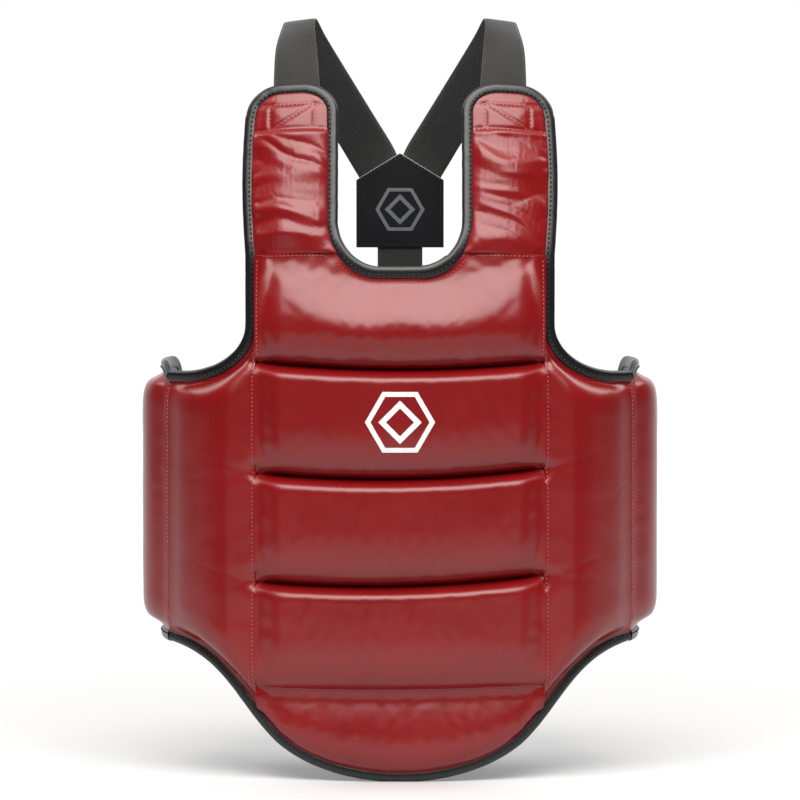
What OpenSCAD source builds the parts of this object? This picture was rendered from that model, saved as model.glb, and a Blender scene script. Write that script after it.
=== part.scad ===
// Chest protector for kickboxing: a quilted front panel with a tail, two side wings that wrap round the ribs,
// two shoulder flaps, and an elastic harness that closes at the waist behind.
// Front faces -Y, up is +Z, and the tail tip is at the height of zero.

/* [Padding] */
// Thickness of the padded panels, from the lining to the outer face
pad_t = 22; // [19:0.5:23]
// Thickness of the padded shoulder flaps
flap_t = 11; // [9:0.5:13]
// Thickness of the outer cover
cover_t = 1.2; // [0.8:0.1:1.5]
// Thickness of the lining
lining_t = 1.2; // [0.8:0.1:1.4]
// Flat margin between a padded chamber and a stitched seam
seam_margin = 4; // [3.5:0.5:5]
// Flat margin between a padded chamber and the edge binding
edge_margin = 6; // [5:0.5:8]

/* [Front panel] */
// Half the width of the centre panel
centre_w = 121; // [118:1:123]
// Distance from the middle to the seam of each wing
seam_x = 199; // [196:1:201]
// Height of the tail seam
tail_z = 80; // [77:1:83]
// Height of the seam between the two belly chambers
belly_z = 170; // [165:1:175]
// Height of the seam above the upper belly chamber
chest_z = 263; // [258:1:268]
// Height of the seam under the upper chest chamber
upper_z = 357; // [352:1:362]
// Height of the fold under the shoulder flaps
fold_z = 452; // [450:1:456]
// Depth of the front lining ahead of the middle of the body
front_y = 118; // [115:1:120]

/* [Edges] */
// Width of the folded binding tape
bind_w = 7; // [6:0.5:8]
// Thickness of the folded binding tape
bind_t = 4.4; // [3.6:0.2:5]
// Height of the lowest point of the neckline
neck_z = 440; // [438:1:442]
// Half the width between the shoulder flaps
neck_w = 55; // [53:1:57]
// Distance from the middle to the outer edge of a shoulder flap
flap_x = 131; // [129:1:133]
// Height of the lowest point of an armhole
arm_z = 349; // [346:1:351]

/* [Shoulder flaps and wings] */
// Length of a shoulder flap above its fold
flap_l = 150; // [140:1:155]
// Lean of the shoulder flaps towards the back
flap_tilt = 18; // [14:1:20]
// Length of a wing, from its seam to its rear edge
wing_l = 118; // [105:1:122]
// Thickness of the padded wings, from the lining to the outer face
wing_t = 18; // [16:0.5:19]
// Direction of a wing from its seam to its rear edge, 90 being straight back
wing_turn = 92; // [90:1:93]
// Radius of the bend of a wing round the ribs
wing_bend = 200; // [190:5:240]

/* [Webbing] */
// Width of the elastic harness webbing
web_w = 40; // [38:1:42]
// Thickness of the elastic webbing
web_t = 1.8; // [1.4:0.1:2]
// Width of the waist belt halves
belt_w = 70; // [50:2:80]
// Height of the middle of the waist belt
belt_z = 237; // [230:1:245]
// Distance of the back webbing behind the middle of the body
back_y = 100; // [98:1:102]

/* [Hidden] */

// Gap between two layers of one body, and the gap that a fold or hinge needs on each side
fit = 0.2;
seam_gap = 0.3;
fold_gap = 3;
// Gap on each side of a wing seam, where the panels meet at an angle
bend_gap = 2;
// Points on each quarter of a curved outline, and the facets of the large arcs
quarter = 8;
fine = 360;

// Plan of the front: one wide arc across the centre, then a tighter arc along each side panel
front_r = 530;
side_r = 151;
front_c = front_r - front_y;
turn_a = asin(centre_w / front_r);
side_cx = (front_r - side_r) * sin(turn_a);
side_cy = front_c - (front_r - side_r) * cos(turn_a);
seam_y = side_cy - sqrt(pow(side_r, 2) - pow(seam_x - side_cx, 2));
fold_y = -104;

// Hem: the tail is half an ellipse, and a double curve joins it to the bottom of each wing seam
tail_rx = 127;
tail_rz = 75;
tail_a = -31.7;
hem_join = [tail_rx * cos(tail_a), tail_rz + tail_rz * sin(tail_a)];
hem_knots = [hem_join, [140, 67], [152, 110], [205, 118]];
hem_z = 117;

// Armhole: a quarter ellipse beside the chest
arm_rx = 59;
arm_rz = 43;
arm_c = [flap_x + arm_rx, arm_z + arm_rz];
neck_r = 38;
flap_rx = 30;
flap_rz = 26;

// Wing outline
wing_top = 357;
wing_r = 20;

// Layers of the closure behind, counted backwards from the middle of the webbing
layer = 1.4;
patch_y = back_y + web_t / 2 + fit;
loop_y = patch_y + layer + fit;
hook_y = loop_y + layer + 2 * fit;
belt_y = hook_y + layer + fit;
patch_w = 62;
belt_end = 3;
hinge = [seam_x + (wing_l + 2) * cos(wing_turn), seam_y + (wing_l + 2) * sin(wing_turn)];

// Yoke patch: a house-shaped piece of cover material
yoke_w = 39;
yoke_z = 453;
yoke_shoulder = 513;
yoke_top = 537;

// The two edges of a shoulder strap, from above the flap, over the shoulder, to just before the yoke
strap_inner = [
    [72, -47, 628], [74, -37, 646], [73, -20, 655], [65, 4, 640], [47, 45, 610], [22.6, 84, 570]
];
strap_outer = [
    [108, -43, 626], [104, -24, 643], [100, 4, 651], [98, 24, 622], [81, 55, 588], [56.5, 87, 549]
];

// ---- outlines in the front view ----

function arc_points(c, rx, ry, a0, a1) =
    [for (i = [0:quarter]) let (a = a0 + (a1 - a0) * i / quarter) [c[0] + rx * cos(a), c[1] + ry * sin(a)]];
function bezier(p, t) =
    pow(1 - t, 3) * p[0] + 3 * t * pow(1 - t, 2) * p[1] + 3 * t * t * (1 - t) * p[2] + pow(t, 3) * p[3];
function inward(p, t) = let (d = bezier(p, t + 0.01) - bezier(p, t - 0.01)) [-d[1], d[0]] / norm(d);
function mirrored(points) = [for (i = [len(points) - 1:-1:0]) [-points[i][0], points[i][1]]];
// Distance from the bound edge: a flat sheet stops at the binding, a padded chamber a margin further in
function edge_inset(e) = bind_w + fit + (e > 0 ? e + edge_margin - seam_margin : 0);

function hem_half(e) = concat(
    arc_points([0, tail_rz], tail_rx - e, tail_rz - e, -90, tail_a),
    [for (i = [1:quarter]) bezier(hem_knots, i / quarter) + e * inward(hem_knots, i / quarter)]
);
module above_hem(e) {
    half = hem_half(e);
    polygon(concat([[-300, 700], [-300, hem_z + e]], mirrored(half), half, [[300, hem_z + e], [300, 700]]));
}
module arm_cut(e) {
    polygon(concat(
        [[flap_x - e, 700]], arc_points(arm_c, arm_rx + e, arm_rz + e, 180, 270), [[300, arm_z - e], [300, 700]]
    ));
}
module neck_cut(e) {
    corner = neck_w - neck_r;
    right = arc_points([corner, neck_z + neck_r], neck_r + e, neck_r + e, -90, 0);
    polygon(concat([[-neck_w - e, 700]], mirrored(right), right, [[neck_w + e, 700]]));
}
module flap_outline(e) {
    top = fold_z + flap_l;
    left = arc_points([neck_w + flap_rx, top - flap_rz], flap_rx - e, flap_rz - e, 180, 90);
    right = arc_points([flap_x - flap_rx, top - flap_rz], flap_rx - e, flap_rz - e, 90, 0);
    difference() {
        polygon(concat([[neck_w - 15, fold_z], [neck_w + e, fold_z + 60]], left, right, [[flap_x - e, fold_z]]));
        neck_cut(e);
    }
}
module wing_outline(e) {
    low = arc_points([wing_l - wing_r, hem_z + wing_r], wing_r - e, wing_r - e, -90, 0);
    high = arc_points([wing_l - wing_r, wing_top - wing_r], wing_r - e, wing_r - e, 0, 90);
    polygon(concat([[0, hem_z + e]], low, high, [[wing_r, wing_top - e], [0, arm_z - e]]));
}
module emblem_outline(size) {
    difference() {
        circle(size, $fn = 6);
        circle(size * 0.84, $fn = 6);
    }
    difference() {
        circle(size * 0.62, $fn = 4);
        circle(size * 0.4, $fn = 4);
    }
}

// ---- solids that follow the body ----

module front_cut() {
    rotate([90, 0, 0]) linear_extrude(300) children();
}
module ring(c, r, t0, t1) {
    translate(c) difference() {
        circle(r + t1, $fn = fine);
        circle(r + t0, $fn = fine);
    }
}
module plan_centre(t0, t1, x0, x1) {
    intersection() {
        ring([0, front_c], front_r, t0, t1);
        translate([x0, -250]) square([x1 - x0, 230]);
    }
}
module plan_side(t0, t1, x0, x1) {
    intersection() {
        ring([side_cx, side_cy], side_r, t0, t1);
        translate([x0, -250]) square([x1 - x0, 230]);
    }
}
module plan_wing(t0, t1, x0, x1) {
    middle = wing_l / 2;
    intersection() {
        ring([middle, sqrt(pow(wing_bend, 2) - pow(middle, 2))], wing_bend, t0, t1);
        translate([x0, -100]) square([x1 - x0, 130]);
    }
}
module centre_slab(t0, t1, x0, x1, z0, z1) {
    translate([0, 0, z0]) linear_extrude(z1 - z0) plan_centre(t0, t1, x0, x1);
}
module side_slab(t0, t1, x0, x1, z0, z1) {
    translate([0, 0, z0]) linear_extrude(z1 - z0) plan_side(t0, t1, x0, x1);
}
module wing_slab(t0, t1, x0) {
    linear_extrude(wing_top + 10) plan_wing(t0, t1, x0, wing_l + 5);
}
// Leans what it holds back about the shoulder fold
module leaned() {
    translate([0, fold_y, fold_z]) rotate([-flap_tilt, 0, 0]) translate([0, -fold_y, -fold_z]) children();
}
// Swings a wing from the front plane to its place behind the wing seam
module wing_placed() {
    translate([seam_x, seam_y, 0]) rotate([0, 0, wing_turn]) children();
}
module side_of(left) {
    mirror([left ? 1 : 0, 0, 0]) children();
}

// ---- one chamber of each kind, between the depths t0 and t1, drawn in by e ----

module centre_block(low, high, low_gap, high_gap, t0, t1, e) {
    w = centre_w - seam_gap - e;
    intersection() {
        centre_slab(t0, t1, -w, w, low + low_gap + e, high - high_gap - e);
        front_cut() difference() {
            translate([-300, 0]) square([600, 700]);
            neck_cut(edge_inset(e));
        }
    }
}
module plain_block(low, high, low_gap, t0, t1, e) {
    w = centre_w - seam_gap - e;
    centre_slab(t0, t1, -w, w, low + low_gap + e, high - seam_gap - e);
}
module side_block(t0, t1, e) {
    intersection() {
        side_slab(t0, t1, centre_w + seam_gap + e, seam_x - bend_gap - e, 40, fold_z - fold_gap - e);
        front_cut() difference() {
            above_hem(edge_inset(e));
            arm_cut(edge_inset(e));
        }
    }
}
module tail_block(t0, t1, e) {
    w = centre_w - seam_gap * 2 - e;
    intersection() {
        centre_slab(t0, t1, -w, w, 0, tail_z - fold_gap - e);
        front_cut() above_hem(edge_inset(e));
    }
}
module wing_block(t0, t1, e) {
    intersection() {
        wing_slab(t0, t1, bend_gap + e);
        translate([0, 150, 0]) front_cut() wing_outline(edge_inset(e));
    }
}
module flap_block(t0, t1, e) {
    intersection() {
        centre_slab(t0, t1, neck_w - 15, flap_x + 5, fold_z + fold_gap + e, fold_z + flap_l + 5);
        front_cut() flap_outline(edge_inset(e));
    }
}
// A cover: a flat sheet with a hollow box raised on it, given as sheet, box and hollow
module raised() {
    difference() {
        union() {
            children(0);
            children(1);
        }
        children(2);
    }
}
// A flat strip of webbing between two lists of edge points
module strip(a, b, thick) {
    last = len(a) - 1;
    along = [for (i = [0:last]) let (n = min(i + 1, last), p = max(i - 1, 0)) a[n] + b[n] - a[p] - b[p]];
    normal = [for (i = [0:last]) let (c = cross(along[i], b[i] - a[i])) c / norm(c) * thick / 2];
    points = [for (i = [0:last]) each [a[i] + normal[i], b[i] + normal[i], b[i] - normal[i], a[i] - normal[i]]];
    walls = [for (i = [0:last - 1], k = [0:3]) each [
        [4 * i + k, 4 * i + (k + 1) % 4, 4 * i + 4 + (k + 1) % 4],
        [4 * i + k, 4 * i + 4 + (k + 1) % 4, 4 * i + 4 + k]
    ]];
    ends = [[0, 3, 2], [0, 2, 1], [4 * last, 4 * last + 1, 4 * last + 2], [4 * last, 4 * last + 2, 4 * last + 3]];
    polyhedron(points, concat(walls, ends));
}

// ---- front panel ----

module cover_centre(low, high, low_gap) {
    color("firebrick") raised() {
        plain_block(low, high, low_gap, fit, fit + cover_t, 0);
        plain_block(low, high, low_gap, fit, pad_t, seam_margin);
        plain_block(low, high, low_gap, -1, pad_t - cover_t, seam_margin + cover_t);
    }
}
module pad_centre(low, high, low_gap) {
    color("wheat") plain_block(low, high, low_gap, fit, pad_t - cover_t - fit, seam_margin + cover_t + fit);
}
module cover_upper_chest() {
    color("firebrick") raised() {
        centre_block(upper_z, fold_z, seam_gap, fold_gap, fit, fit + cover_t, 0);
        centre_block(upper_z, fold_z, seam_gap, fold_gap, fit, pad_t, seam_margin);
        centre_block(upper_z, fold_z, seam_gap, fold_gap, -1, pad_t - cover_t, seam_margin + cover_t);
    }
}
module pad_upper_chest() {
    color("wheat") centre_block(
        upper_z, fold_z, seam_gap, fold_gap, fit, pad_t - cover_t - fit, seam_margin + cover_t + fit
    );
}
module cover_side(left) {
    color("firebrick") side_of(left) raised() {
        side_block(fit, fit + cover_t, 0);
        side_block(fit, pad_t, seam_margin);
        side_block(-1, pad_t - cover_t, seam_margin + cover_t);
    }
}
module pad_side(left) {
    color("wheat") side_of(left) side_block(fit, pad_t - cover_t - fit, seam_margin + cover_t + fit);
}
module lining_front() {
    color("midnightblue") difference() {
        intersection() {
            translate([0, 0, 40]) linear_extrude(fold_z - fold_gap - 40) {
                plan_centre(-lining_t, 0, -centre_w, centre_w);
                plan_side(-lining_t, 0, centre_w, seam_x - bend_gap);
                mirror([1, 0]) plan_side(-lining_t, 0, centre_w, seam_x - bend_gap);
            }
            front_cut() difference() {
                above_hem(bind_w + fit);
                arm_cut(bind_w + fit);
                mirror([1, 0]) arm_cut(bind_w + fit);
                neck_cut(bind_w + fit);
            }
        }
        translate([-centre_w, -200, 0]) cube([2 * centre_w, 200, tail_z + fold_gap]);
    }
}
module binding_neck() {
    color("black") intersection() {
        centre_slab(-bind_t / 2, bind_t / 2, -neck_w - bind_w, neck_w + bind_w, neck_z - 20, fold_z - fold_gap);
        front_cut() difference() {
            neck_cut(bind_w);
            neck_cut(0);
        }
    }
}
module binding_armhole(left) {
    color("black") side_of(left) intersection() {
        side_slab(-bind_t / 2, bind_t / 2, centre_w, seam_x - bend_gap, arm_z - 20, fold_z - fold_gap);
        front_cut() difference() {
            arm_cut(bind_w);
            arm_cut(0);
        }
    }
}
module binding_hem(left) {
    color("black") side_of(left) intersection() {
        side_slab(-bind_t / 2, bind_t / 2, centre_w + seam_gap, seam_x - bend_gap, 20, hem_z + 20);
        front_cut() difference() {
            above_hem(0);
            above_hem(bind_w);
        }
    }
}
module chest_emblem() {
    color("white") intersection() {
        centre_slab(pad_t + 0.02, pad_t + 0.3, -50, 50, chest_z, upper_z);
        front_cut() translate([0, (chest_z + upper_z) / 2]) emblem_outline(30);
    }
}

// ---- tail ----

module cover_tail() {
    color("firebrick") raised() {
        tail_block(fit, fit + cover_t, 0);
        tail_block(fit, pad_t, seam_margin);
        tail_block(-1, pad_t - cover_t, seam_margin + cover_t);
    }
}
module pad_tail() {
    color("wheat") tail_block(fit, pad_t - cover_t - fit, seam_margin + cover_t + fit);
}
module lining_tail() {
    color("midnightblue") tail_block(-lining_t, 0, 0);
}
module binding_tail() {
    w = centre_w - 2 * seam_gap;
    color("black") intersection() {
        centre_slab(-bind_t / 2, bind_t / 2, -w, w, 0, tail_z - fold_gap);
        front_cut() difference() {
            above_hem(0);
            above_hem(bind_w);
        }
    }
}

// ---- wings ----

module cover_wing(left) {
    color("firebrick") side_of(left) wing_placed() raised() {
        wing_block(fit, fit + cover_t, 0);
        wing_block(fit, wing_t, seam_margin);
        wing_block(-1, wing_t - cover_t, seam_margin + cover_t);
    }
}
module pad_wing(left) {
    color("wheat") side_of(left) wing_placed()
        wing_block(fit, wing_t - cover_t - fit, seam_margin + cover_t + fit);
}
module lining_wing(left) {
    color("midnightblue") side_of(left) wing_placed() wing_block(-lining_t, 0, 0);
}
module binding_wing(left) {
    color("black") side_of(left) wing_placed() intersection() {
        wing_slab(-bind_t / 2, bind_t / 2, bend_gap + 1);
        translate([0, 150, 0]) front_cut() difference() {
            wing_outline(0);
            wing_outline(bind_w);
        }
    }
}

// ---- shoulder flaps and harness ----

module cover_shoulder(left) {
    color("firebrick") side_of(left) leaned() raised() {
        flap_block(fit, fit + cover_t, 0);
        flap_block(fit, flap_t, seam_margin);
        flap_block(-1, flap_t - cover_t, seam_margin + cover_t);
    }
}
module pad_shoulder(left) {
    color("wheat") side_of(left) leaned() flap_block(fit, flap_t - cover_t - fit, seam_margin + cover_t + fit);
}
module lining_shoulder(left) {
    color("midnightblue") side_of(left) leaned() flap_block(-lining_t, 0, 0);
}
module binding_shoulder(left) {
    color("black") side_of(left) leaned() intersection() {
        centre_slab(-bind_t / 2, bind_t / 2, neck_w - 15, flap_x + 5, fold_z + fold_gap, fold_z + flap_l + 5);
        front_cut() difference() {
            flap_outline(0);
            flap_outline(bind_w);
        }
    }
}
// A point behind a leaned flap, at the depth t and at the height z that it has before leaning
function flap_point(x, t, z) =
    let (dy = front_c - sqrt(pow(front_r + t, 2) - x * x) - fold_y, dz = z - fold_z)
    [x, fold_y + dy * cos(flap_tilt) + dz * sin(flap_tilt), fold_z - dy * sin(flap_tilt) + dz * cos(flap_tilt)];
module strap(left) {
    middle = (neck_w + flap_x) / 2 - 3;
    depth = -bind_t / 2 - web_t / 2 - 3 * fit;
    top = fold_z + flap_l;
    sewn = [for (z = [top - 42, top - 20, top + 2]) z];
    a = [for (z = sewn) flap_point(middle - web_w / 2, depth, z)];
    b = [for (z = sewn) flap_point(middle + web_w / 2, depth, z)];
    end_a = [[7, back_y, yoke_top + 7.5], [0.8, back_y, yoke_top - 6]];
    end_b = [[41.3, back_y, yoke_top - 13.5], [28, back_y, yoke_top - 35.5]];
    color("dimgray") side_of(left) strip(concat(a, strap_inner, end_a), concat(b, strap_outer, end_b), web_t);
}
module yoke_leaf(y) {
    color("black") translate([0, y + layer, 0]) rotate([90, 0, 0]) linear_extrude(layer) polygon([
        [-yoke_w, yoke_z], [yoke_w, yoke_z], [yoke_w, yoke_shoulder], [0, yoke_top], [-yoke_w, yoke_shoulder]
    ]);
}
module yoke_inner() {
    yoke_leaf(back_y - web_t / 2 - fit - layer);
}
module yoke_outer() {
    yoke_leaf(patch_y);
}
module yoke_emblem() {
    color("gray") translate([0, back_y - web_t / 2 - fit - layer - 0.02, (yoke_z + yoke_shoulder) / 2 + 4])
        rotate([90, 0, 0]) linear_extrude(0.3) emblem_outline(22);
}
module back_strap() {
    low = belt_z - belt_w / 2 + 2;
    color("dimgray") translate([-web_w / 2, back_y - web_t / 2, low]) cube([web_w, web_t, yoke_z + 12 - low]);
}
module waist_patch() {
    color("black") translate([-patch_w, patch_y, belt_z - belt_w / 2]) cube([2 * patch_w, layer, belt_w]);
}
module waist_loop() {
    w = patch_w - 3;
    color("dimgray") translate([-w, loop_y, belt_z - belt_w / 2 + 3]) cube([2 * w, layer, belt_w - 6]);
}

// ---- waist belt ----

module belt(left) {
    outer = arc_points([patch_w, hinge[1] + 1], hinge[0] - patch_w, belt_y + web_t - hinge[1] - 1, 0, 90);
    inner = arc_points([patch_w, hinge[1] + 1], hinge[0] - web_t - patch_w, belt_y - hinge[1] - 1, 90, 0);
    ends = [[belt_end, belt_y + web_t], [belt_end, belt_y]];
    color("dimgray") side_of(left) translate([0, 0, belt_z - belt_w / 2]) linear_extrude(belt_w)
        polygon(concat(outer, ends, inner));
}
module belt_hook(left) {
    w = patch_w - 6 - belt_end;
    color("black") side_of(left) translate([belt_end + 1, hook_y, belt_z - belt_w / 2 + 4])
        cube([w, layer, belt_w - 8]);
}
module belt_tab(left) {
    w = patch_w - 4 - belt_end;
    color("black") side_of(left) translate([belt_end - 1, belt_y + web_t + fit, belt_z - belt_w / 2])
        cube([w, layer, belt_w]);
}

cover_upper_chest();
cover_centre(chest_z, upper_z, seam_gap);  // cover_chest
cover_centre(belly_z, chest_z, seam_gap);  // cover_belly
cover_centre(tail_z, belly_z, fold_gap);  // cover_lower_belly
cover_side(true);  // cover_side_left
cover_side(false);  // cover_side_right
pad_upper_chest();
pad_centre(chest_z, upper_z, seam_gap);  // pad_chest
pad_centre(belly_z, chest_z, seam_gap);  // pad_belly
pad_centre(tail_z, belly_z, fold_gap);  // pad_lower_belly
pad_side(true);  // pad_side_left
pad_side(false);  // pad_side_right
lining_front();
binding_neck();
binding_armhole(true);  // binding_armhole_left
binding_armhole(false);  // binding_armhole_right
binding_hem(true);  // binding_hem_left
binding_hem(false);  // binding_hem_right
chest_emblem();
cover_tail();
pad_tail();
lining_tail();
binding_tail();
cover_wing(true);  // cover_wing_left
pad_wing(true);  // pad_wing_left
lining_wing(true);  // lining_wing_left
binding_wing(true);  // binding_wing_left
cover_wing(false);  // cover_wing_right
pad_wing(false);  // pad_wing_right
lining_wing(false);  // lining_wing_right
binding_wing(false);  // binding_wing_right
cover_shoulder(true);  // cover_shoulder_left
pad_shoulder(true);  // pad_shoulder_left
lining_shoulder(true);  // lining_shoulder_left
binding_shoulder(true);  // binding_shoulder_left
cover_shoulder(false);  // cover_shoulder_right
pad_shoulder(false);  // pad_shoulder_right
lining_shoulder(false);  // lining_shoulder_right
binding_shoulder(false);  // binding_shoulder_right
strap(true);  // strap_left
strap(false);  // strap_right
yoke_inner();
yoke_outer();
yoke_emblem();
back_strap();
waist_patch();
waist_loop();
belt(true);  // belt_left
belt_hook(true);  // belt_hook_left
belt_tab(true);  // belt_tab_left
belt(false);  // belt_right
belt_hook(false);  // belt_hook_right
belt_tab(false);  // belt_tab_right
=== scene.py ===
import math

import bmesh
import bpy
import numpy as np
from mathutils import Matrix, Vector, noise
from mathutils.bvhtree import BVHTree


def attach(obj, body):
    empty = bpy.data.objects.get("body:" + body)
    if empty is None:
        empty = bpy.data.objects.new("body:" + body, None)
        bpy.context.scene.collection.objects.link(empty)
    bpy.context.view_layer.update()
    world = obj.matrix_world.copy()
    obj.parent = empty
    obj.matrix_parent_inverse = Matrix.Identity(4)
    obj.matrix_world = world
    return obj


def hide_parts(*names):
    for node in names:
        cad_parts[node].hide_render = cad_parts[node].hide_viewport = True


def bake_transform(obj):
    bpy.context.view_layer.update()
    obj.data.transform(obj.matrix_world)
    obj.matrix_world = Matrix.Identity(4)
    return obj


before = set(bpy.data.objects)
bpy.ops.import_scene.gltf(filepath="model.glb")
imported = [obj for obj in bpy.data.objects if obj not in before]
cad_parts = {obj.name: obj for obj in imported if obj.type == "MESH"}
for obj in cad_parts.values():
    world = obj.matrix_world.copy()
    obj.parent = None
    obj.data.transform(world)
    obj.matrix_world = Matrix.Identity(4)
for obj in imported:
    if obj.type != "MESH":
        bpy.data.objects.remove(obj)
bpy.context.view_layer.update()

scene = bpy.context.scene

# ----------------------------------------------------------------------------------------------------
# Studio: a white acrylic table that the protector stands on, a large soft light above in front, a small one
# behind on each side that draws the long highlights down the wings, a white card low in front, and a long
# lens.
# ----------------------------------------------------------------------------------------------------


def linear(code):
    """A hex colour such as "8a1a1c", turned from sRGB to linear."""
    parts = [int(code[i:i + 2], 16) / 255 for i in (0, 2, 4)]
    return tuple(c / 12.92 if c <= 0.04045 else ((c + 0.055) / 1.055) ** 2.4 for c in parts) + (1.0,)


def node(tree, kind, settings=None, **links):
    """Adds one shader node. settings are its own properties; links give a socket a value or another socket.
    A link named i0, i1 and so on goes to the socket of that number."""
    made = tree.nodes.new(kind)
    for key, value in (settings or {}).items():
        setattr(made, key, value)
    for key, value in links.items():
        place = int(key[1:]) if key[0] == "i" and key[1:].isdigit() else key.replace("_", " ")
        socket = made.inputs[place]
        if isinstance(value, bpy.types.NodeSocket):
            tree.links.new(value, socket)
        else:
            socket.default_value = value
    return made


def new_material(name):
    """An empty material and its node tree."""
    made = bpy.data.materials.new(name)
    made.use_nodes = True
    made.node_tree.nodes.clear()
    return made, made.node_tree


def add_mesh(name, points, faces, material, smooth=True):
    """A mesh object from points in millimetres."""
    mesh = bpy.data.meshes.new(name)
    mesh.from_pydata([(p[0] / 1000, p[1] / 1000, p[2] / 1000) for p in points], [], [tuple(f) for f in faces])
    mesh.materials.append(material)
    mesh.polygons.foreach_set("use_smooth", [smooth] * len(mesh.polygons))
    mesh.update()
    made = bpy.data.objects.new(name, mesh)
    scene.collection.objects.link(made)
    return made


# White acrylic: pale grey and matt where the object stands, so that it takes soft shadows, and lit from below
# further out, where it runs into the white of the room without an edge.
paper_white = 1.02
floor_paint, tree = new_material("white_acrylic_table")
reach = node(tree, "ShaderNodeVectorMath", {"operation": "LENGTH"},
             i0=node(tree, "ShaderNodeTexCoord").outputs["Object"])
backlit = node(tree, "ShaderNodeMapRange", {"interpolation_type": "SMOOTHSTEP"}, Value=reach.outputs["Value"],
               From_Min=0.25, From_Max=1.1)
surface = node(tree, "ShaderNodeBsdfPrincipled", Base_Color=linear("cfcfcf"), Roughness=0.6)
glow = node(tree, "ShaderNodeEmission", Color=linear("ffffff"), Strength=paper_white)
blend = node(tree, "ShaderNodeMixShader", i0=backlit.outputs[0], i1=surface.outputs[0], i2=glow.outputs[0])
node(tree, "ShaderNodeOutputMaterial", Surface=blend.outputs[0])

table_front, table_back, table_side, table_z = -600, 2500, 2500, -0.5
table_corners = [(-table_side, table_front), (table_side, table_front), (table_side, table_back),
                 (-table_side, table_back)]
table = add_mesh("studio_table", [corner + (table_z,) for corner in table_corners], [(0, 1, 2, 3)],
                 floor_paint)

# The room is seen as plain white. It lights the object like a white ceiling and far walls, with the dim end
# of the room in front.
world = bpy.data.worlds.new("studio")
scene.world = world
world.use_nodes = True
world.node_tree.nodes.clear()
tree = world.node_tree
heading = node(tree, "ShaderNodeSeparateXYZ", Vector=node(tree, "ShaderNodeTexCoord").outputs["Generated"])
ceiling = node(tree, "ShaderNodeMapRange", {"interpolation_type": "SMOOTHSTEP"}, Value=heading.outputs["Z"],
               From_Min=0.45, From_Max=0.95, To_Min=0.0, To_Max=0.9)
walls = node(tree, "ShaderNodeMapRange", {"interpolation_type": "SMOOTHSTEP"}, Value=heading.outputs["Y"],
             From_Min=0.40, From_Max=0.98, To_Min=0.05, To_Max=1.1)
room = node(tree, "ShaderNodeMath", {"operation": "MAXIMUM"}, i0=ceiling.outputs[0], i1=walls.outputs[0])
looked_at = node(tree, "ShaderNodeLightPath").outputs["Is Camera Ray"]
seen = node(tree, "ShaderNodeMix", {"data_type": "FLOAT"}, Factor=looked_at, A=room.outputs[0], B=paper_white)
sky = node(tree, "ShaderNodeBackground", Color=linear("ffffff"), Strength=seen.outputs[0])
node(tree, "ShaderNodeOutputWorld", Surface=sky.outputs[0])
scene.view_settings.view_transform = "Standard"


lamp_tint = (1.0, 0.98, 0.955)


def area_light(name, place, aim, size, power):
    """A soft box: its place and the point it faces in metres, its width and height, and its power in
    watts."""
    lamp = bpy.data.lights.new(name, "AREA")
    lamp.shape = "RECTANGLE"
    lamp.size, lamp.size_y = size
    lamp.energy = power
    lamp.color = lamp_tint
    made = bpy.data.objects.new(name, lamp)
    made.location = place
    made.rotation_euler = (Vector(aim) - Vector(place)).to_track_quat("-Z", "Y").to_euler()
    scene.collection.objects.link(made)
    return made


area_light("top_light", (0, -1.64, 2.38), (0, -0.05, 0.35), (2.6, 2.3), 124)
area_light("left_light", (-2.0, 0.7, 2.2), (0, 0, 0.3), (1.2, 1.2), 17)
area_light("right_light", (2.0, 0.7, 2.2), (0, 0, 0.3), (1.2, 1.2), 24)
area_light("white_card", (0, -1.25, -0.15), (0, -0.1, 0.25), (1.8, 0.5), 2.7)

camera_data = bpy.data.cameras.new("camera")
camera = bpy.data.objects.new("camera", camera_data)
scene.collection.objects.link(camera)
scene.camera = camera
camera_distance = 5.0
camera_tilt = math.radians(3.0)
look_at = Vector((0, -0.1, 0.327))
camera.location = look_at + camera_distance * Vector((0, -math.cos(camera_tilt), math.sin(camera_tilt)))
camera.rotation_euler = (math.pi / 2 - camera_tilt, 0, 0)
sensor, framed_width = 36, 0.688
camera_data.sensor_width = sensor
camera_data.lens = sensor * camera_distance / framed_width

# ----------------------------------------------------------------------------------------------------
# Pattern of the front. Every sewn panel is drawn as seen from the front, in millimetres across and up, then
# laid on the body: a wide arc over the chest, a tighter arc over each side, and a soft fold under the flaps.
# A side panel is 78 mm wide in the pattern, and its cloth is 92 mm wide along the arc.
# ----------------------------------------------------------------------------------------------------
centre_w = 121.0
seam_x = 199.0
fold_z = 452.0
front_r, side_r = 530.0, 151.0
front_c = front_r - 118.0
turn_a = math.asin(centre_w / front_r)
side_c = ((front_r - side_r) * math.sin(turn_a), front_c - (front_r - side_r) * math.cos(turn_a))
seam_y = side_c[1] - math.sqrt(side_r ** 2 - (seam_x - side_c[0]) ** 2)
fold_y = -104.0
flap_lean = math.radians(18)
fold_half = 15.0
wing_l, wing_turn, wing_bend = 118.0, math.radians(92), 200.0
wing_c = (wing_l / 2, math.sqrt(wing_bend ** 2 - (wing_l / 2) ** 2))
# The front and the wing meet at an angle. Near their seam both stand their padding up along the middle
# direction.
seam_turn = math.asin((seam_x - side_c[0]) / side_r)
half_bend = (wing_turn - math.asin(wing_l / 2 / wing_bend) - seam_turn) / 2
bend_reach = 30.0


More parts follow.
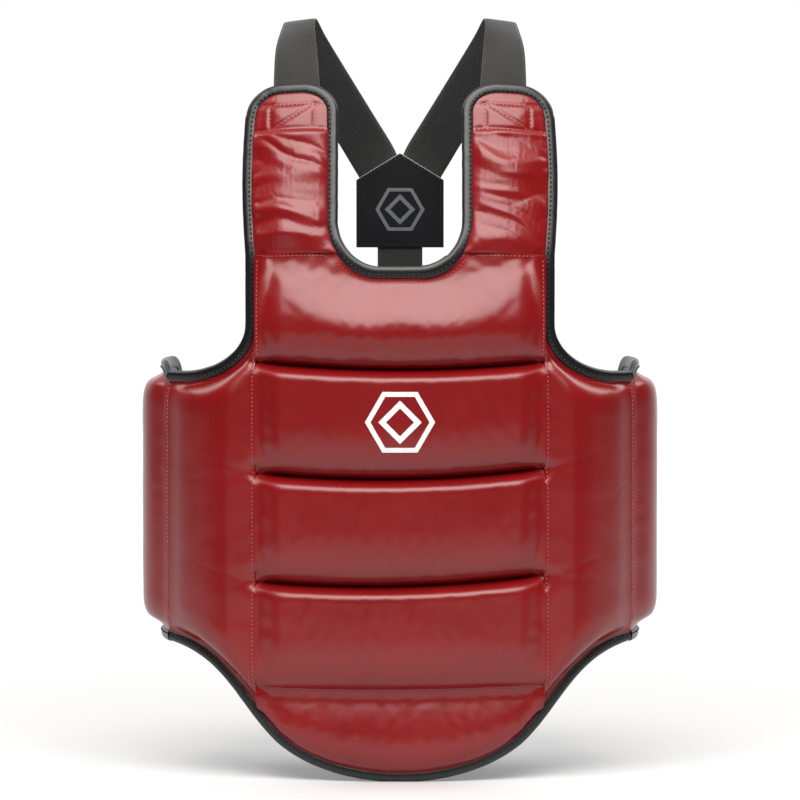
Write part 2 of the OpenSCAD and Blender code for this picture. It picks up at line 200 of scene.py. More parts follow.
def on_front(p, h):
    """Places pattern points (across, up) at the height h above the lining. All in millimetres."""
    p, h = np.asarray(p, float), np.asarray(h, float)
    x, z = p[:, 0], p[:, 1]
    side, ax = np.sign(x), np.abs(x)
    beyond = ax > centre_w
    cx, cy = np.where(beyond, side_c[0], 0.0), np.where(beyond, side_c[1], front_c)
    r = np.where(beyond, side_r, front_r)
    sin_a = np.clip((ax - cx) / r, -0.98, 0.98)
    cos_a = np.sqrt(1 - sin_a ** 2)
    near = np.clip(1 - (seam_x - ax) / bend_reach, 0, 1) ** 2
    stand = np.arcsin(sin_a) + half_bend * near
    across = side * (cx + r * sin_a + h * np.sin(stand))
    depth = cy - r * cos_a - h * np.cos(stand)
    # the fold under the flaps: straight below, an arc, then leaned
    q = np.clip((z - (fold_z - fold_half)) / (2 * fold_half), 0, 1)
    lean = flap_lean * q
    arc_r = 2 * fold_half / flap_lean
    past = np.maximum(z - (fold_z + fold_half), 0)
    before = np.minimum(z, fold_z - fold_half)
    neutral_y = fold_y + arc_r * (1 - np.cos(lean)) + past * math.sin(flap_lean)
    neutral_z = before + arc_r * np.sin(lean) + past * math.cos(flap_lean)
    out = depth - fold_y
    return np.stack([across, neutral_y + out * np.cos(lean), neutral_z - out * np.sin(lean)], 1)


def on_wing(side):
    """The same for a wing: across is measured back from its seam. side is 1 on the right, -1 on the left."""

    def place(p, h):
        p, h = np.asarray(p, float), np.asarray(h, float)
        sin_a = np.clip((p[:, 0] - wing_c[0]) / wing_bend, -0.98, 0.98)
        a = wing_c[0] + wing_bend * sin_a
        b = wing_c[1] - wing_bend * np.sqrt(1 - sin_a ** 2)
        near = np.clip(1 - p[:, 0] / bend_reach, 0, 1) ** 2
        stand = wing_turn + np.arcsin(sin_a) - half_bend * near
        x = seam_x + a * math.cos(wing_turn) - b * math.sin(wing_turn) + h * np.sin(stand)
        y = seam_y + a * math.sin(wing_turn) + b * math.cos(wing_turn) - h * np.cos(stand)
        return np.stack([side * x, y, p[:, 1]], 1)

    return place


def arc(c, rx, ry, a0, a1, n=24):
    turns = np.radians(np.linspace(a0, a1, n + 1))
    return np.stack([c[0] + rx * np.cos(turns), c[1] + ry * np.sin(turns)], 1)


def joined(*parts):
    """One line from several, without doubled points."""
    points = np.concatenate([np.asarray(part, float).reshape(-1, 2) for part in parts])
    keep = np.r_[True, np.linalg.norm(np.diff(points, axis=0), axis=1) > 1e-4]
    return points[keep]


def even(points, count):
    """count points evenly spaced along a line of 2 or 3 dimensions."""
    points = np.asarray(points, float)
    along = np.r_[0, np.cumsum(np.linalg.norm(np.diff(points, axis=0), axis=1))]
    wanted = np.linspace(0, along[-1], count)
    return np.stack([np.interp(wanted, along, points[:, k]) for k in range(points.shape[1])], 1)


bind_w = 7.0
hem_join = np.array([127 * math.cos(math.radians(-31.7)), 75 + 75 * math.sin(math.radians(-31.7))])
hem_knots = np.array([hem_join, [140, 67], [152, 110], [205, 118]])


def hem_line(e):
    """The hem from the tail tip to the wing seam on the right, drawn in by e."""
    t = np.linspace(0, 1, 40)[:, None]
    k = hem_knots
    curve = (1 - t) ** 3 * k[0] + 3 * t * (1 - t) ** 2 * k[1] + 3 * t ** 2 * (1 - t) * k[2] + t ** 3 * k[3]
    slope = np.gradient(curve, axis=0)
    inward = np.stack([-slope[:, 1], slope[:, 0]], 1) / np.linalg.norm(slope, axis=1)[:, None]
    return joined(arc((0, 75), 127 - e, 75 - e, -90, -31.7), curve + e * inward)


def cut_x(line, x0, x1):
    """The part of a line whose first coordinate runs from x0 to x1, ends included."""
    z = lambda x: np.interp(x, line[:, 0], line[:, 1])
    inside = line[(line[:, 0] > x0) & (line[:, 0] < x1)]
    return joined([[x0, z(x0)]], inside, [[x1, z(x1)]])


def arm_line(e):
    """The armhole edge on the right, from the wing seam up to the fold, drawn in by e."""
    return joined([[seam_x, 349 - e]], arc((190, 392), 59 + e, 43 + e, 270, 180), [[131 - e, fold_z]])


neck_w, neck_z, neck_r = 55.0, 440.0, 38.0


def neck_arc(e):
    """The right corner of the neckline, from its bottom up to the inner edge of the flap, drawn in by e."""
    return arc((neck_w - neck_r, neck_z + neck_r), neck_r + e, neck_r + e, -90, 0, 40)


def neck_line(e):
    """The neckline from the left fold, round the bottom, to the right fold, drawn in by e."""
    curve = neck_arc(e)
    end = [np.interp(fold_z, curve[:, 1], curve[:, 0]), fold_z]
    right = joined(curve[curve[:, 1] < fold_z], [end])
    return joined(right[::-1] * [-1, 1], right)


def coons(bottom, top, left, right, nu, nv):
    """A grid of pattern points between four edge lines: (nv + 1, nu + 1, 2)."""
    b, t = even(bottom, nu + 1), even(top, nu + 1)
    l, r = even(left, nv + 1), even(right, nv + 1)
    u, v = np.linspace(0, 1, nu + 1)[None, :, None], np.linspace(0, 1, nv + 1)[:, None, None]
    flat = (1 - u) * (1 - v) * b[0] + u * (1 - v) * b[-1] + (1 - u) * v * t[0] + u * v * t[-1]
    return (1 - v) * b[None] + v * t[None] + (1 - u) * l[:, None] + u * r[:, None] - flat


def distance(points, line):
    """The distance of each pattern point from an edge line."""
    line = even(line, 160)
    a, b = line[:-1], line[1:]
    step = b - a
    rel = points[:, None, :] - a[None]
    t = np.clip((rel * step).sum(2) / (step ** 2).sum(1)[None], 0, 1)
    return np.linalg.norm(rel - t[..., None] * step[None], axis=2).min(1)


def rounded(d, margin, rise, power):
    """The edge of a foam block under its cover: flat over the margin, then up and over within rise. A power
    of 1 gives an easy slope instead of a round shoulder."""
    q = np.clip((d - margin) / rise, 0, 1)
    if power == 1:
        return 1 - (1 - q) ** 2
    return (1 - (1 - q) ** power) ** (1 / power)


# ----------------------------------------------------------------------------------------------------
# Front covers: glossy polyurethane-coated leather cloth, stitched through to the lining so that each foam
# block sits in its own chamber. Foam holds the middle full, and the seams pull the skin down in a narrow
# groove and pucker it.
# ----------------------------------------------------------------------------------------------------


def two_tone(tree, level, first, last, low=0.0, high=1.0):
    """A colour that runs from first to last as level goes from low to high."""
    tint = node(tree, "ShaderNodeValToRGB", Fac=level)
    ends = tint.color_ramp.elements
    ends[0].position, ends[0].color = low, linear(first)
    ends[1].position, ends[1].color = high, linear(last)
    return tint.outputs[0]


def surfaced(tree, colour, rough, height, strength, depth, **sockets):
    """Ends a material: one surface with a relief of the given depth in millimetres. sockets sets the rest."""
    bump = node(tree, "ShaderNodeBump", Strength=strength, Distance=depth / 1000, Height=height)
    shader = node(tree, "ShaderNodeBsdfPrincipled", Base_Color=colour, Roughness=rough,
                  Normal=bump.outputs[0], **sockets)
    node(tree, "ShaderNodeOutputMaterial", Surface=shader.outputs[0])


def cloudy(tree, scale, detail, **sockets):
    """Cloudy unevenness over the object: scale is how many clouds fit in a metre."""
    place = node(tree, "ShaderNodeTexCoord").outputs["Object"]
    noise = node(tree, "ShaderNodeTexNoise", Vector=place, Scale=scale, Detail=detail, **sockets)
    return noise.outputs["Fac"]


def cells(tree, scale, scatter):
    """The distance from the middle of scattered cells, with scale of them in a metre."""
    place = node(tree, "ShaderNodeTexCoord").outputs["Object"]
    spots = node(tree, "ShaderNodeTexVoronoi", Vector=place, Scale=scale, Randomness=scatter)
    return spots.outputs["Distance"]


def pu_leather(name, dark, light, gloss):
    """Coated leather cloth: an even wet-looking skin that draws soft bright bands, with a fine pebble of
    about 1 mm that breaks them up and faint cloudy wear in its colour and gloss."""
    made, tree = new_material(name)
    cloud = cloudy(tree, 14.0, 4.0, Roughness=0.6)
    skin = node(tree, "ShaderNodeMath", {"operation": "MULTIPLY_ADD"}, i0=cells(tree, 950.0, 1.0), i1=0.35,
                i2=cloudy(tree, 120.0, 3.0, Roughness=0.55))
    rough = node(tree, "ShaderNodeMapRange", Value=cloud, From_Min=0.3, From_Max=0.7, To_Min=gloss,
                 To_Max=gloss + 0.05)
    surfaced(tree, two_tone(tree, cloud, dark, light, 0.32, 0.70), rough.outputs[0], skin.outputs[0], 0.16,
             0.18, IOR=1.5, Coat_Weight=0.12, Coat_Roughness=0.28)
    return made


red_leather = pu_leather("red_pu_leather", "770b0d", "7e0d10", 0.27)
black_leather = pu_leather("black_pu_leather", "0b0b0c", "111112", 0.33)

pad_t, wing_t, flap_t = 22.0, 18.0, 11.0
seam_h = 2.0
edge_e = 4.0
edge_flat = 3.0 + 5.0


def seam_line(ends, middle, tilt=0.0):
    """A horizontal seam across the centre panel that sags from its ends to its middle."""
    x = np.linspace(-centre_w, centre_w, 41)
    z = ends + (middle - ends) * (1 - (x / centre_w) ** 2) + tilt * x / centre_w
    return np.stack([x, z], 1)


upper_seam = seam_line(360.0, 354.0)
chest_seam = seam_line(266.5, 260.0, 2.0)
belly_seam = seam_line(174.0, 168.0, 3.0)
tail_seam = seam_line(81.5, 79.5, 1.0)
grooves = [upper_seam, chest_seam, belly_seam, tail_seam]
side_seam_h, side_dip = 17.0, 7.0
wing_seam_h = 4.5
tail_seam_h = 7.0
skin_h = 1.4


def centre_lift(p):
    """The height of the centre seams, which dip where a groove meets them."""
    lows = [line[-1][1] for line in grooves] + [line[0][1] for line in grooves]
    dip = np.max([np.exp(-((p[:, 1] - low) / 5.0) ** 2) for low in lows], axis=0)
    return side_seam_h - side_dip * dip


def raised(points, edges, crown, dome=1.5, seed=0.0):
    """The height of a padded chamber over its pattern points. edges are (line, flat, rise, power, seam
    height). An edge with a flat margin is a free edge, and pulls the seams beside it down as well."""
    full, free = np.ones(len(points)), np.ones(len(points))
    base, near = np.zeros(len(points)), np.full(len(points), 1e9)
    for line, flat, rise, power, lift in edges:
        d = distance(points, line)
        full *= rounded(d, flat, rise, power)
        if flat > 0:
            free *= rounded(d, flat, rise, power)
        height = lift(points) if callable(lift) else lift
        base = np.maximum(base, (height - skin_h) * np.clip(1 - d / 14.0, 0, 1) ** 2)
        near = np.minimum(near, d)
    base = skin_h + base * free
    swell = dome * (1 - np.exp(-near / 25.0))
    lumps = np.array([noise.noise(Vector((p[0] / 30 + seed, p[1] / 22, seed))) for p in points])
    return base + np.maximum(crown + swell - base, 0) * full + 0.2 * lumps * full


def puckers(points, line, reach, size, pitch, seed):
    """Small gathers that run in from a seam: a height to add, strongest beside the stitches."""
    d = distance(points, line)
    wave = np.array([noise.noise(Vector((p[0] / pitch + seed, p[1] / pitch, seed * 1.7))) for p in points])
    return size * wave * np.clip(d / 3.0, 0, 1) * np.exp(-d / reach)


def gathered(points, *seams, start=0.0):
    """The puckers of several seams, each given as (line, reach, size, pitch, seed), on top of start."""
    return sum((puckers(points, *seam) for seam in seams), start)


def grid_faces(rows, columns, start=0):
    """The faces of a grid of points, row by row."""
    return [(start + r * columns + c, start + r * columns + c + 1, start + (r + 1) * columns + c + 1,
             start + (r + 1) * columns + c) for r in range(rows - 1) for c in range(columns - 1)]


def rim_of(rows, columns):
    """The indices round the edge of a grid, in order."""
    low = list(range(columns - 1))
    right = [r * columns + columns - 1 for r in range(rows - 1)]
    top = [(rows - 1) * columns + c for c in range(columns - 1, 0, -1)]
    left = [r * columns for r in range(rows - 1, 0, -1)]
    return low + right + top + left


def closed(made, sharp):
    """Turns the faces of a closed piece outward, and keeps the edges between the given vertices crisp."""
    sharp = set(sharp)
    body = bmesh.new()
    body.from_mesh(made.data)
    bmesh.ops.recalc_face_normals(body, faces=body.faces)
    crease = body.edges.layers.float.new("crease_edge")
    for edge in body.edges:
        if edge.verts[0].index in sharp and edge.verts[1].index in sharp:
            edge[crease] = 1.0
            edge.smooth = False
    body.to_mesh(made.data)
    body.free()
    return made


sim_frames, furthest_move = 20, 2.5


def stuffed(name, points, rows, columns, hold, material, pressure, slack):
    """Runs the skin of one chamber as cloth: held at its seams, leaning on the foam within, and blown out a
    little. Returns the new points. hold is how firmly each point keeps its place, 1 being stitched down."""
    sheet = add_mesh(name + "_skin", points, grid_faces(rows, columns), material)
    group = sheet.vertex_groups.new(name="held")
    for i, weight in enumerate(hold):
        group.add([i], float(weight), "REPLACE")
    cloth = sheet.modifiers.new("cloth", "CLOTH")
    s = cloth.settings
    s.quality, s.mass, s.air_damping = 6, 0.25, 4.0
    s.tension_stiffness, s.compression_stiffness, s.shear_stiffness, s.bending_stiffness = 25, 12, 8, 4.0
    s.tension_damping = s.compression_damping = s.shear_damping = 12
    s.use_pressure, s.uniform_pressure_force = True, pressure
    s.vertex_group_mass, s.pin_stiffness = "held", 0.6
    s.shrink_min = s.shrink_max = -slack
    s.effector_weights.gravity = 0
    cloth.point_cache.frame_start, cloth.point_cache.frame_end = 1, sim_frames
    scene.frame_start, scene.frame_end = 1, sim_frames
    for step in range(1, sim_frames + 1):
        scene.frame_set(step)
        bpy.context.view_layer.update()
    done = sheet.evaluated_get(bpy.context.evaluated_depsgraph_get())
    moved = np.empty(len(points) * 3)
    done.data.vertices.foreach_get("co", moved)
    moved = moved.reshape(-1, 3) * 1000 - points
    scene.frame_set(1)
    bpy.data.objects.remove(sheet)
    far = np.linalg.norm(moved, axis=1)
    return points + moved * np.minimum(1, furthest_move / np.maximum(far, 1e-9))[:, None]


soft_hold, foam_back = 0.35, 0.25


def chamber(name, grid, edges, crown, place, seed, replaced, extra, dome=1.5, slack=0.004,
            pressure=1.2):
    """A padded chamber as one closed solid: its stuffed skin in front, and the flat back of the foam behind.
    extra gives the puckers and folds that are added to its height."""
    rows, columns = grid.shape[:2]
    pattern = grid.reshape(-1, 2)
    height = raised(pattern, edges, crown, dome, seed) + extra(pattern)
    front = place(pattern, height)
    near = np.min([np.clip((distance(pattern, e[0]) - e[1]) / 10.0, 0, 1) for e in edges], axis=0)
    hold = soft_hold + (1 - soft_hold) * (1 - near) ** 2
    hold[rim_of(rows, columns)] = 1.0
    front = stuffed(name, front, rows, columns, hold, red_leather, pressure, slack)
    back = place(pattern, np.full(len(pattern), foam_back))
    count = len(pattern)
    faces = grid_faces(rows, columns)
    faces += [tuple(reversed(f)) for f in grid_faces(rows, columns, count)]
    rim = rim_of(rows, columns)
    for a, b in zip(rim, rim[1:] + rim[:1]):
        faces.append((b, a, a + count, b + count))
    made = closed(add_mesh(name, np.concatenate([front, back]), faces, red_leather), rim)
    smooth = made.modifiers.new("smooth", "SUBSURF")
    smooth.levels = smooth.render_levels = 1
    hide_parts(*replaced)
    return made


def bend_at_fold(made):
    """Bakes the placing of a piece that crosses the fold under the shoulder flaps into its mesh; its bend at
    the fold comes from on_front.
    """
    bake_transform(made)


def centre_seams(low, high):
    """The left and the right centre seam, from the ends of the line low to those of the line high."""
    return [np.array([[x, low[end][1]], [x, high[end][1]]]) for x, end in ((-centre_w, 0), (centre_w, -1))]


# Each kind of edge: its flat margin, how far the padding takes to rise, the roundness and the seam's height.
low_groove, high_groove = (0.0, 46.0, 2.3, seam_h), (0.0, 10.0, 2.0, seam_h)
tail_groove = (0.0, 46.0, 2.3, tail_seam_h)
side_edge = (0.0, 26.0, 2.2, centre_lift)
bound_edge = (edge_flat, 26.0, 2.6, skin_h)


def centre_chamber(name, low, high, seed, replaced):
    """One chamber across the chest, between two grooves."""
    left, right = centre_seams(low, high)
    edges = [(low,) + (tail_groove if low is tail_seam else low_groove), (high,) + high_groove,
             (left,) + side_edge, (right,) + side_edge]
    made = chamber(name, coons(low, high, left, right, 60, 24), edges, pad_t, on_front, seed, replaced,
                   lambda p: gathered(p, (low, 8, 0.8, 12, seed), (high, 8, 0.8, 12, seed + 3),
                                      (left, 10, 1.0, 11, seed + 5), (right, 10, 1.0, 11, seed + 7)))
    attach(made, "front_panel")
    return made


chest = centre_chamber("chest_cover", chest_seam, upper_seam, 1.0, ["cover_chest", "pad_chest"])
belly = centre_chamber("belly_cover", belly_seam, chest_seam, 2.0, ["cover_belly", "pad_belly"])
lower = centre_chamber("lower_belly_cover", tail_seam, belly_seam, 3.0,
                       ["cover_lower_belly", "pad_lower_belly"])

# The upper chest chamber runs up to the fold of the shoulder flaps and dips round the neckline.
neck_edge = neck_line(edge_e)
upper_top = joined([[-centre_w, fold_z]], neck_edge, [[centre_w, fold_z]])
upper_grid = coons(upper_seam, upper_top, *centre_seams(upper_seam, upper_top), 64, 26)
right_fold, left_fold = [np.array([[side * neck_edge[-1][0], fold_z], [side * 140, fold_z]])
                         for side in (1, -1)]
fold_edge = (0.0, 75.0, 1, 6.0)
upper_edges = [(upper_seam,) + low_groove, (neck_edge, edge_flat, 50.0, 1, skin_h),
               (right_fold,) + fold_edge, (left_fold,) + fold_edge]
upper_edges += [(np.array([[x, 350], [x, fold_z]]),) + side_edge for x in (-centre_w, centre_w)]
upper = chamber("upper_chest_cover", upper_grid, upper_edges, pad_t, on_front, 4.0,
                ["cover_upper_chest", "pad_upper_chest"],
                lambda p: gathered(p, (upper_seam, 10, 1.6, 9, 1.0), (right_fold, 12, 1.5, 9, 2.0),
                                   (left_fold, 12, 1.5, 9, 5.0)))
bend_at_fold(upper)

# ----------------------------------------------------------------------------------------------------
# Side covers: one tall foam chamber on each side of the chest, between the centre seam and the wing seam. The
# skin keeps a flat unpadded margin along the armhole and the hem, where the binding is sewn on.
# ----------------------------------------------------------------------------------------------------
SIDES = [("left", -1), ("right", 1)]
sides = {}


def wing_blend(made, name, side):
    """Bakes the placing of a piece beside a wing seam into its mesh."""
    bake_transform(made)


for name, side in SIDES:
    flip = np.array([side, 1])
    hem_edge = cut_x(hem_line(edge_e), centre_w, seam_x) * flip
    arm_edge = arm_line(edge_e) * flip
    centre_edge = np.array([[side * centre_w, hem_edge[0][1]], [side * centre_w, fold_z]])
    wing_edge = np.array([[side * seam_x, hem_edge[-1][1]], [side * seam_x, arm_edge[0][1]]])
    outer_edge = joined(wing_edge, arm_edge)
    top_edge = np.array([[side * centre_w, fold_z], arm_edge[-1]])
    grid = coons(hem_edge, top_edge, centre_edge, outer_edge, 28, 120)
    seed = 10.0 + side
    edges = [(hem_edge,) + bound_edge, (arm_edge,) + bound_edge, (centre_edge,) + side_edge,
             (wing_edge, 0.0, 62.0, 1, wing_seam_h), (top_edge, 0.0, 24.0, 2.2, 6.0)]
    ends = [line[0 if side < 0 else -1][1] for line in grooves[:3]]

    def drawn_in(p):
        """The short creases that run out from the end of each groove."""
        away = np.abs(p[:, 0]) - centre_w
        low = [np.exp(-((p[:, 1] - z + k * away) / 1.7) ** 2) for z in ends for k in (0.12, -0.35)]
        return -1.8 * np.sum(low, axis=0) * np.clip(away / 2.5, 0, 1) * np.exp(-away / 9.0)

    made = chamber(name + "_side_cover", grid, edges, pad_t, on_front, seed,
                   ["cover_side_" + name, "pad_side_" + name],
                   lambda p: gathered(p, (centre_edge, 10, 0.7, 12, seed), (wing_edge, 8, 0.25, 16, seed + 2),
                                      (arm_edge, 14, 0.8, 12, seed + 4), (hem_edge, 14, 0.8, 12, seed + 6),
                                      start=drawn_in(p)), slack=0.001, pressure=0.7)
    sides[name] = made
    wing_blend(made, name, side)

# ----------------------------------------------------------------------------------------------------
# Tail cover: the half-oval chamber that hangs under the belly, below its seam.
# ----------------------------------------------------------------------------------------------------
def tail_line(e):
    """The hem below the tail seam, from the left centre seam round to the right one, drawn in by e."""
    half = hem_line(e)
    half = cut_x(half[half[:, 0] < 140], 0, centre_w)
    return joined(half[::-1] * [-1, 1], half)


tail_hem = tail_line(edge_e)
tail_sides = [np.array([[x, tail_hem[0][1]], [x, tail_seam[end][1]]])
              for x, end in ((-centre_w, 0), (centre_w, -1))]
tail_grid = coons(tail_hem, tail_seam, tail_sides[0], tail_sides[1], 64, 22)
tail_edges = [(tail_seam, 0.0, 60.0, 1, tail_seam_h), (tail_hem, edge_flat - 4, 34.0, 2.6, skin_h)]
tail_edges += [(line, 0.0, 16.0, 2.2, centre_lift) for line in tail_sides]
tail = chamber("tail_cover", tail_grid, tail_edges, pad_t - 10, on_front, 20.0, ["cover_tail", "pad_tail"],
               lambda p: gathered(p, (tail_seam, 8, 0.7, 9, 21.0), (tail_hem, 12, 0.8, 11, 22.0)))


def tail_blend(made):
    """Bakes the placing of a piece of the tail, whose seam meets the belly, into its mesh."""
    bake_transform(made)


tail_blend(tail)

# ----------------------------------------------------------------------------------------------------
# Wing covers: a foam chamber on each wing, rounded at its two rear corners, wrapping back round the ribs.
# ----------------------------------------------------------------------------------------------------
hem_z, arm_z, wing_top, wing_r = 117.0, 349.0, 357.0, 20.0


def wing_line(e):
    """The free edge of a wing from the top of its seam, round the rear, to the bottom of its seam, drawn in
    by e."""
    high = arc((wing_l - wing_r, wing_top - wing_r), wing_r - e, wing_r - e, 90, 0)
    low = arc((wing_l - wing_r, hem_z + wing_r), wing_r - e, wing_r - e, 0, -90)
    shoulder = [wing_r * 0.5, (arm_z + wing_top) / 2 + 1.0 - e]
    return joined([[0, arm_z - e], shoulder, [wing_r, wing_top - e]], high, low, [[0, hem_z + e]])


def part_between(line, first, last):
    """The stretch of a line between the points nearest to first and last."""
    a = int(np.argmin(np.linalg.norm(line - first, axis=1)))
    b = int(np.argmin(np.linalg.norm(line - last, axis=1)))
    return line[min(a, b):max(a, b) + 1]


for name, side in SIDES:
    free = wing_line(edge_e)
    top_corner = np.array([wing_l - wing_r * 0.3 - edge_e * 0.7, wing_top - wing_r * 0.3 - edge_e * 0.7])
    low_corner = np.array([top_corner[0], hem_z + wing_top - top_corner[1]])
    top_edge = part_between(free, free[0], top_corner)
    rear_edge = part_between(free, top_corner, low_corner)[::-1]
    low_edge = part_between(free, low_corner, free[-1])[::-1]
    seam = np.array([free[-1], free[0]])
    if side > 0:
        grid = coons(low_edge, top_edge, seam, rear_edge, 28, 56)
    else:
        grid = coons(low_edge[::-1], top_edge[::-1], rear_edge, seam, 28, 56)
    seed = 30.0 + side
    edges = [(seam, 0.0, 46.0, 1, wing_seam_h), (free, edge_flat, 24.0, 2.6, skin_h)]
    made = chamber(name + "_wing_cover", grid, edges, wing_t, on_wing(side), seed,
                   ["cover_wing_" + name, "pad_wing_" + name],
                   lambda p: gathered(p, (seam, 8, 0.4, 12, seed), (free, 14, 0.8, 12, seed + 2)),
                   slack=0.001, pressure=0.7)
    wing_blend(made, name, side)

# ----------------------------------------------------------------------------------------------------
# Shoulder covers: thin soft padding in the flaps, which lie back over the collarbones. The skin is loose
# across them, so it falls in crosswise folds between the fold seam and the stitched box at the top.
# ----------------------------------------------------------------------------------------------------
flap_l, flap_x = 150.0, 131.0


def flap_line(e):
    """The edge of the right flap from the outer end of its fold, over the top, to the neckline, drawn in
    by e."""
    top = fold_z + flap_l
    z = np.linspace(fold_z, top - 26, 16)
    outer = np.stack([flap_x - e + 3.0 * np.sin(np.pi * (z - fold_z) / 135), z], 1)
    outer_corner = arc((flap_x - 30, top - 26), 30 - e, 26 - e, 0, 90)
    inner_corner = arc((neck_w + 30, top - 26), 30 - e, 26 - e, 90, 180)
    neck = neck_arc(e)[::-1]
    neck = neck[neck[:, 1] > fold_z]
    end = neck_line(e)[-1]
    return joined(outer, outer_corner, inner_corner, neck, [end])


box_z = (fold_z + flap_l - 41, fold_z + flap_l - 18)
box_x = (neck_w + 18.0, flap_x - 20.0)
box_lines = [[(box_x[0], box_z[1]), (box_x[0], box_z[0])], [(box_x[1], box_z[1]), (box_x[1], box_z[0])],
             [(neck_w + 9, box_z[1]), (flap_x - 9, box_z[1])],
             [(neck_w + 6, box_z[0]), (flap_x - 4, box_z[0])],
             [(box_x[1] - 2, box_z[0] + 1), (box_x[0] + 3, box_z[1] - 2)]]
shoulders = {}

for name, side in SIDES:
    flip = np.array([side, 1])
    free = flap_line(edge_e)
    corners = [np.array([flap_x - 11, fold_z + flap_l - 11]), np.array([neck_w + 11, fold_z + flap_l - 11])]
    outer_edge = part_between(free, free[0], corners[0]) * flip
    top_edge = part_between(free, corners[0], corners[1])[::-1] * flip
    inner_edge = part_between(free, corners[1], free[-1])[::-1] * flip
    bottom_edge = np.array([inner_edge[0], outer_edge[0]])
    grid = coons(bottom_edge, top_edge, inner_edge, outer_edge, 40, 84)
    seed = 40.0 + side
    edges = [(free * flip, 2.0, 30.0, 1.7, 2.4), (bottom_edge, 0.0, 16.0, 1.8, 6.0)]

    def folds(p):
        """Soft slanting folds between the fold seam and the stitched box, and the grooves its stitches
        press."""
        inside = np.clip(distance(p, free * flip) / 9.0, 0, 1)
        loose = np.clip((p[:, 1] - fold_z) / 14, 0, 1) * np.clip((box_z[0] + 2 - p[:, 1]) / 8, 0, 1)
        height = np.zeros(len(p))
        for i, (x, z) in enumerate(p):
            bent = z + 9 * noise.noise(Vector((x / 34, z / 42, seed))) + 0.2 * x
            height[i] = 3.4 * noise.noise(Vector((x / 70 + seed, bent / 20, seed)))
            height[i] += 4.0 * abs(noise.noise(Vector((x / 60 + seed, bent / 17, seed + 5))))
            height[i] += 0.8 * noise.noise(Vector((x / 30 + seed, bent / 8, seed + 9)))
        pressed = np.min([distance(p, np.array(line) * flip) for line in box_lines], axis=0)
        boxed = np.clip((p[:, 1] - box_z[0] + 4) / 4, 0, 1)
        return (height * loose - 2.2 * boxed) * inside - 1.0 * np.exp(-(pressed / 1.8) ** 2) * inside

    made = chamber(name + "_shoulder_cover", grid, edges, flap_t - 2, on_front, seed,
                   ["cover_shoulder_" + name, "pad_shoulder_" + name], folds, dome=0.5)
    bend_at_fold(made)
    shoulders[name] = made

# ----------------------------------------------------------------------------------------------------
# Seam stitches: red polyester thread in rows beside the seams, and the box with one diagonal that holds each
# strap. Every stitch is a short capsule of thread, pulled down into the skin at both ends.
# ----------------------------------------------------------------------------------------------------


def thread(name, colour):
    """Twisted polyester thread: its fine relief gives each stitch a silky broken glint."""
    made, tree = new_material(name)
    surfaced(tree, linear(colour), 0.38, cloudy(tree, 2500.0, 2.0), 0.4, 0.1)
    return made


red_thread = thread("red_polyester_thread", "a9494b")
black_thread = thread("black_polyester_thread", "060606")
blue_thread = thread("pale_blue_polyester_thread", "7f88b4")
# A stitch from end to end: how far along it, how thick against its middle, and how far out of the skin in mm.
STITCH = [(0, 0.35, -0.45), (0.12, 0.85, 0.0), (0.5, 1.0, 0.1), (0.88, 0.85, 0.0), (1.0, 0.35, -0.45)]
round_steps = 6


def run_along(path):
    """The distance of each point of a path from its start."""
    return np.r_[0, np.cumsum(np.linalg.norm(np.diff(path, axis=0), axis=1))]


def tube(rings, n, first=0):
    """The faces of a tube of rings with n points each, closed at both ends."""
    faces = [(first + i * n + k, first + i * n + (k + 1) % n, first + (i + 1) * n + (k + 1) % n,
              first + (i + 1) * n + k) for i in range(rings - 1) for k in range(n)]
    last = first + (rings - 1) * n
    return faces + [tuple(range(first + n - 1, first - 1, -1)), tuple(range(last, last + n))]


def sewn(name, paths, thread, pitch=3.6, length=2.5, r=0.47):
    """Rows of stitches of radius r along each path of points in millimetres. A path comes with the way out of
    the skin at each of its points."""
    points, faces = [], []
    for path, outward in paths:
        path, outward = np.asarray(path, float), np.asarray(outward)
        along = run_along(path)
        for start in np.arange(0.4, along[-1] - length, pitch):
            spots = start + length * np.array([part for part, size, sink in STITCH])
            middle = np.stack([np.interp(spots, along, path[:, k]) for k in range(3)], 1)
            out = np.array([np.interp(start, along, outward[:, k]) for k in range(3)])
            out /= np.linalg.norm(out)
            heading = middle[-1] - middle[0]
            heading /= np.linalg.norm(heading)
            cross = np.cross(heading, out)
            faces += tube(len(STITCH), round_steps, len(points))
            for spot, (part, size, sink) in zip(middle, STITCH):
                for k in range(round_steps):
                    turn = math.pi * k / 3
                    up, over = r * size * math.sin(turn), r * size * math.cos(turn)
                    points.append(spot + out * (sink + up) + cross * over)
    return closed(add_mesh(name, points, faces, thread), [])


def skins_of(*objects):
    """The finished surfaces of some pieces, to lay thread and print on."""
    bpy.context.view_layer.update()
    graph = bpy.context.evaluated_depsgraph_get()
    return [BVHTree.FromObject(made, graph) for made in objects]


thread_lift = 0.15


def settle(line, skins, start=45.0, stop=-4.0):
    """Lays a pattern line on the skins, looking from the height start to stop: its points in millimetres, and
    the way out of the skin at each."""
    length = np.linalg.norm(np.diff(line, axis=0), axis=1).sum()
    path = even(line, int(length / 2.0) + 2)
    high, low = on_front(path, np.full(len(path), start)), on_front(path, np.full(len(path), stop))
    points, out = [], []
    for a, b in zip(high, low):
        way = Vector(b - a).normalized()
        hits = [skin.ray_cast(Vector(a) / 1000, way) for skin in skins]
        hits = [hit for hit in hits if hit[0] is not None]
        if hits:
            first = min(hits, key=lambda hit: hit[3])
            points.append(np.array(first[0]) * 1000 - np.array(way) * thread_lift)
            out.append(-np.array(way))
    return np.array(points), np.array(out)


